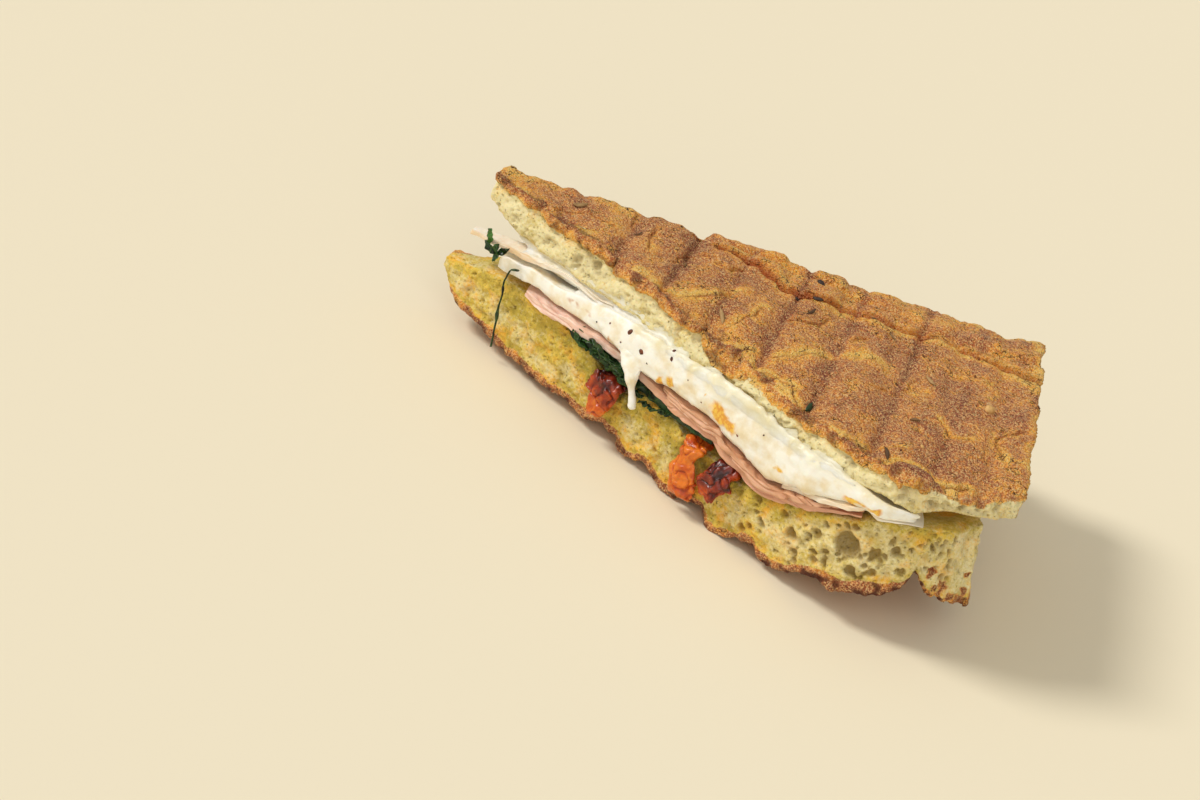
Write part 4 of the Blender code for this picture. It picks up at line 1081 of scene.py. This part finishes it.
class PANINI_OT_cheese(bpy.types.Operator):
    """Melts the cheese out of the cut, with its drip"""

    bl_idname = "panini.cheese"
    bl_label = "Cheese"

    def execute(self, context):
        finish = mozzarella_finish(context.scene.panini_colours)
        as_piece(grown_cheese(), "melted_cheese", finish, "cheese", "cheese")
        as_piece(cheese_veil(), "cheese_veil", finish, "cheese")
        return {"FINISHED"}


class PANINI_OT_meats(bpy.types.Operator):
    """Lays the ham and the turkey"""

    bl_idname = "panini.meats"
    bl_label = "Ham and Turkey"

    def execute(self, context):
        # the fourth colour of each finish is painted shade in the grooves between layers
        pink = sliced_meat_finish("cooked ham", "#F8DAC8", "#EABBA4", "#E4B088", "#DCA68C", 0.35, "#DBA585")
        tan = sliced_meat_finish("roasted ham edge", "#EBC4A8", "#DBA587", "#C8895A", "#B4744C", 0.5,
                                 "#DFAE8C")
        pale = sliced_meat_finish("cooked turkey", "#F8EEDD", "#EFDDC2", "#E2B05C", "#D9BC92", 0.6)
        for node, edge, seed, layers, name, finish, slot in (
            ("ham_lower", 1.0, 3.0, 0.3, "ham_slice", pink, "ham"),
            ("ham_upper", 1.4, 11.0, 0.6, "ham_fold", tan, "ham"),
            ("turkey_end", 0.8, 21.0, 0.0, "turkey_slice", pale, "turkey"),
            ("turkey_tip", 0.8, 31.0, 0.0, "turkey_corner", pale, "turkey"),
        ):
            as_piece(grown_slice(node, edge, seed, layers), name, finish, slot, node)
        return {"FINISHED"}


class PANINI_OT_spinach(bpy.types.Operator):
    """Tucks in the spinach: the layer, its crumpled leaves, the scrap and the stalk"""

    bl_idname = "panini.spinach"
    bl_label = "Spinach"

    def execute(self, context):
        leaf = wilted_leaf_finish(context.scene.panini_colours)
        as_piece(grown_slice("spinach_layer", 2.4, 41.0), "spinach_bed", leaf, "spinach", "spinach_layer")
        bm = bmesh.new()
        rng = np.random.default_rng(23)
        for k in range(16):
            x = 52.5 + 1.45 * k + rng.uniform(-1, 1)
            z = 29.4 - 0.19 * abs(x - 60) + rng.uniform(-1.4, 0.8)
            tilt = rng.uniform(-0.7, 0.5)
            leaf_sheet(bm, (x, -1.7 + rng.uniform(-0.7, 0.5), z), (1, rng.uniform(-0.2, 0.2), tilt),
                       (rng.uniform(-0.3, 0.3), -0.45, 0.9), rng.uniform(6, 9), rng.uniform(2.6, 4.2),
                       1.5, k * 3.7, rng.uniform(0, 0.25))
        for x, z, length in ((81.4, 22.9, 4.0), (85.4, 23.4, 4.4), (89.1, 24.4, 4.0), (78.0, 24.0, 4.6)):
            leaf_sheet(bm, (x, -1.0, z), (1, 0, 0.2), (0, -0.5, 0.8), length, 1.8, 1.2, x)
        as_piece(mesh_of(bm), "spinach_leaves", leaf, "spinach")
        bm = bmesh.new()
        for sheet in TIP_LEAVES:
            leaf_sheet(bm, *sheet)
        as_piece(mesh_of(bm), "spinach_tip", leaf, "spinach", "spinach_scrap")
        bm = bmesh.new()
        hanging_stalk(bm)
        as_piece(mesh_of(bm), "spinach_stem", leaf, "spinach", "spinach_stalk")
        return {"FINISHED"}


class PANINI_OT_tomatoes(bpy.types.Operator):
    """Hangs the dried tomato in the cut"""

    bl_idname = "panini.tomatoes"
    bl_label = "Tomatoes"

    def execute(self, context):
        finish = dried_tomato_finish(context.scene.panini_colours)
        for node, seed, low, high in (("tomato_first", 5.0, 1.15, 0.2), ("tomato_left", 15.0, 0.95, 0.8),
                                      ("tomato_right", 25.0, 0.55, 0.35)):
            as_piece(grown_tomato(node, seed, low, high), node + "_flesh", finish, "tomato", node)
        return {"FINISHED"}


class PANINI_OT_herbs(bpy.types.Operator):
    """Scatters the baked herb needles on the crust and the pepper on the cheese"""

    bl_idname = "panini.herbs"
    bl_label = "Herbs and Pepper"

    def execute(self, context):
        sizes = context.scene.panini_sizes
        crust = surface("upper_bread_baked")
        bm = bmesh.new()
        tints = []
        for number, (x, y, length, turn, tint, width) in enumerate(HERBS):
            needle(bm, *dropped(crust, x, y), length, width * sizes.herb_width, math.radians(turn), number)
            tints += [tint] * (len(bm.verts) - len(tints))
        for number, (x, y, size, tint) in enumerate(CRUMBS):
            chip(bm, *dropped(crust, x, y), size * MM, sizes.pepper_sides, number, 0.62)
            tints += [tint] * (len(bm.verts) - len(tints))
        mesh = mesh_of(bm)
        put_masks(mesh, tint=np.array(tints))
        as_piece(mesh, "herb_needles", dried_herb_finish(), "bread")

        cheese = surface("melted_cheese")
        bm = bmesh.new()
        for number, (x, z, size) in enumerate(PEPPER):
            spot, normal = from_front(cheese, x, z)
            if spot is not None and spot.y - TIP.y <= 0.004:
                chip(bm, spot, normal, size * MM, sizes.pepper_sides, number)
        as_piece(mesh_of(bm), "pepper_chips", pepper_finish(), "cheese")
        return {"FINISHED"}


class PANINI_OT_stage(bpy.types.Operator):
    """Lays the pale floor, the soft lights and the camera"""

    bl_idname = "panini.stage"
    bl_label = "Stage"

    def execute(self, context):
        sizes, scene = context.scene.panini_sizes, context.scene
        bm = bmesh.new()
        bmesh.ops.create_grid(bm, x_segments=1, y_segments=1, size=6.0)
        floor = bpy.data.objects.new("floor", mesh_of(bm))
        scene.collection.objects.link(floor)
        paper = blank("matt backdrop paper")[0]
        floor.data.materials.append(finished(paper, {"Base Color": tuple(sizes.floor_tint) + (1.0,),
                                                     "Roughness": 0.9, "Specular IOR Level": 0.1}))

        for name, power, softness, place in (("key", sizes.key_power, 0.3, (-0.65, -0.45, 0.75)),
                                             ("fill", sizes.fill_power, 1.0, (0.6, -0.7, 0.6))):
            lamp = bpy.data.lights.new(name, "SUN")
            lamp.energy = power
            lamp.angle = softness
            holder = bpy.data.objects.new(name, lamp)
            holder.rotation_euler = (-Vector(place)).to_track_quat("-Z", "Y").to_euler()
            scene.collection.objects.link(holder)
        world = bpy.data.worlds.new("pale studio")
        world.use_nodes = True
        plug(world.node_tree, world.node_tree.nodes["Background"], {"Color": "#FFFEFA", "Strength": 0.42})
        scene.world = world
        scene.view_settings.view_transform = "Standard"

        lens = bpy.data.cameras.new("camera")
        lens.lens = sizes.lens
        lens.sensor_width = 36.0
        lens.sensor_fit = "HORIZONTAL"
        camera = bpy.data.objects.new("camera", lens)
        turned = Matrix((CAMERA_RIGHT, -CAMERA_DOWN, -CAMERA_AHEAD)).transposed().to_4x4()
        turned.translation = CAMERA_AT * MM + TIP
        camera.matrix_world = turned
        scene.collection.objects.link(camera)
        scene.camera = camera
        return {"FINISHED"}


class PANINI_PT_panel(bpy.types.Panel):
    """Lists the panini's pieces in the sidebar"""

    bl_label = "Panini"
    bl_idname = "PANINI_PT_panel"
    bl_space_type = "VIEW_3D"
    bl_region_type = "UI"
    bl_category = "Panini"

    def draw(self, context):
        for operator in OPERATORS:
            self.layout.operator(operator.bl_idname)
        for group in (context.scene.panini_sizes, context.scene.panini_colours):
            for name in group.bl_rna.properties.keys():
                if name not in ("rna_type", "name"):
                    self.layout.prop(group, name)


OPERATORS = (PANINI_OT_stage, PANINI_OT_upper_bread, PANINI_OT_lower_bread, PANINI_OT_meats, PANINI_OT_cheese,
             PANINI_OT_spinach, PANINI_OT_tomatoes, PANINI_OT_herbs)
CLASSES = (PaniniColours, PaniniSizes, *OPERATORS, PANINI_PT_panel)


def register():
    """Registers the classes and hangs the settings on the scene."""
    for made in CLASSES:
        bpy.utils.register_class(made)
    bpy.types.Scene.panini_colours = PointerProperty(type=PaniniColours)
    bpy.types.Scene.panini_sizes = PointerProperty(type=PaniniSizes)


def unregister():
    """Undoes register."""
    del bpy.types.Scene.panini_sizes
    del bpy.types.Scene.panini_colours
    for made in reversed(CLASSES):
        bpy.utils.unregister_class(made)


def main():
    """Builds the pieces in their order."""
    register()
    for operator in OPERATORS:
        section, name = operator.bl_idname.split(".")
        getattr(getattr(bpy.ops, section), name)()


if __name__ == "__main__":
    main()
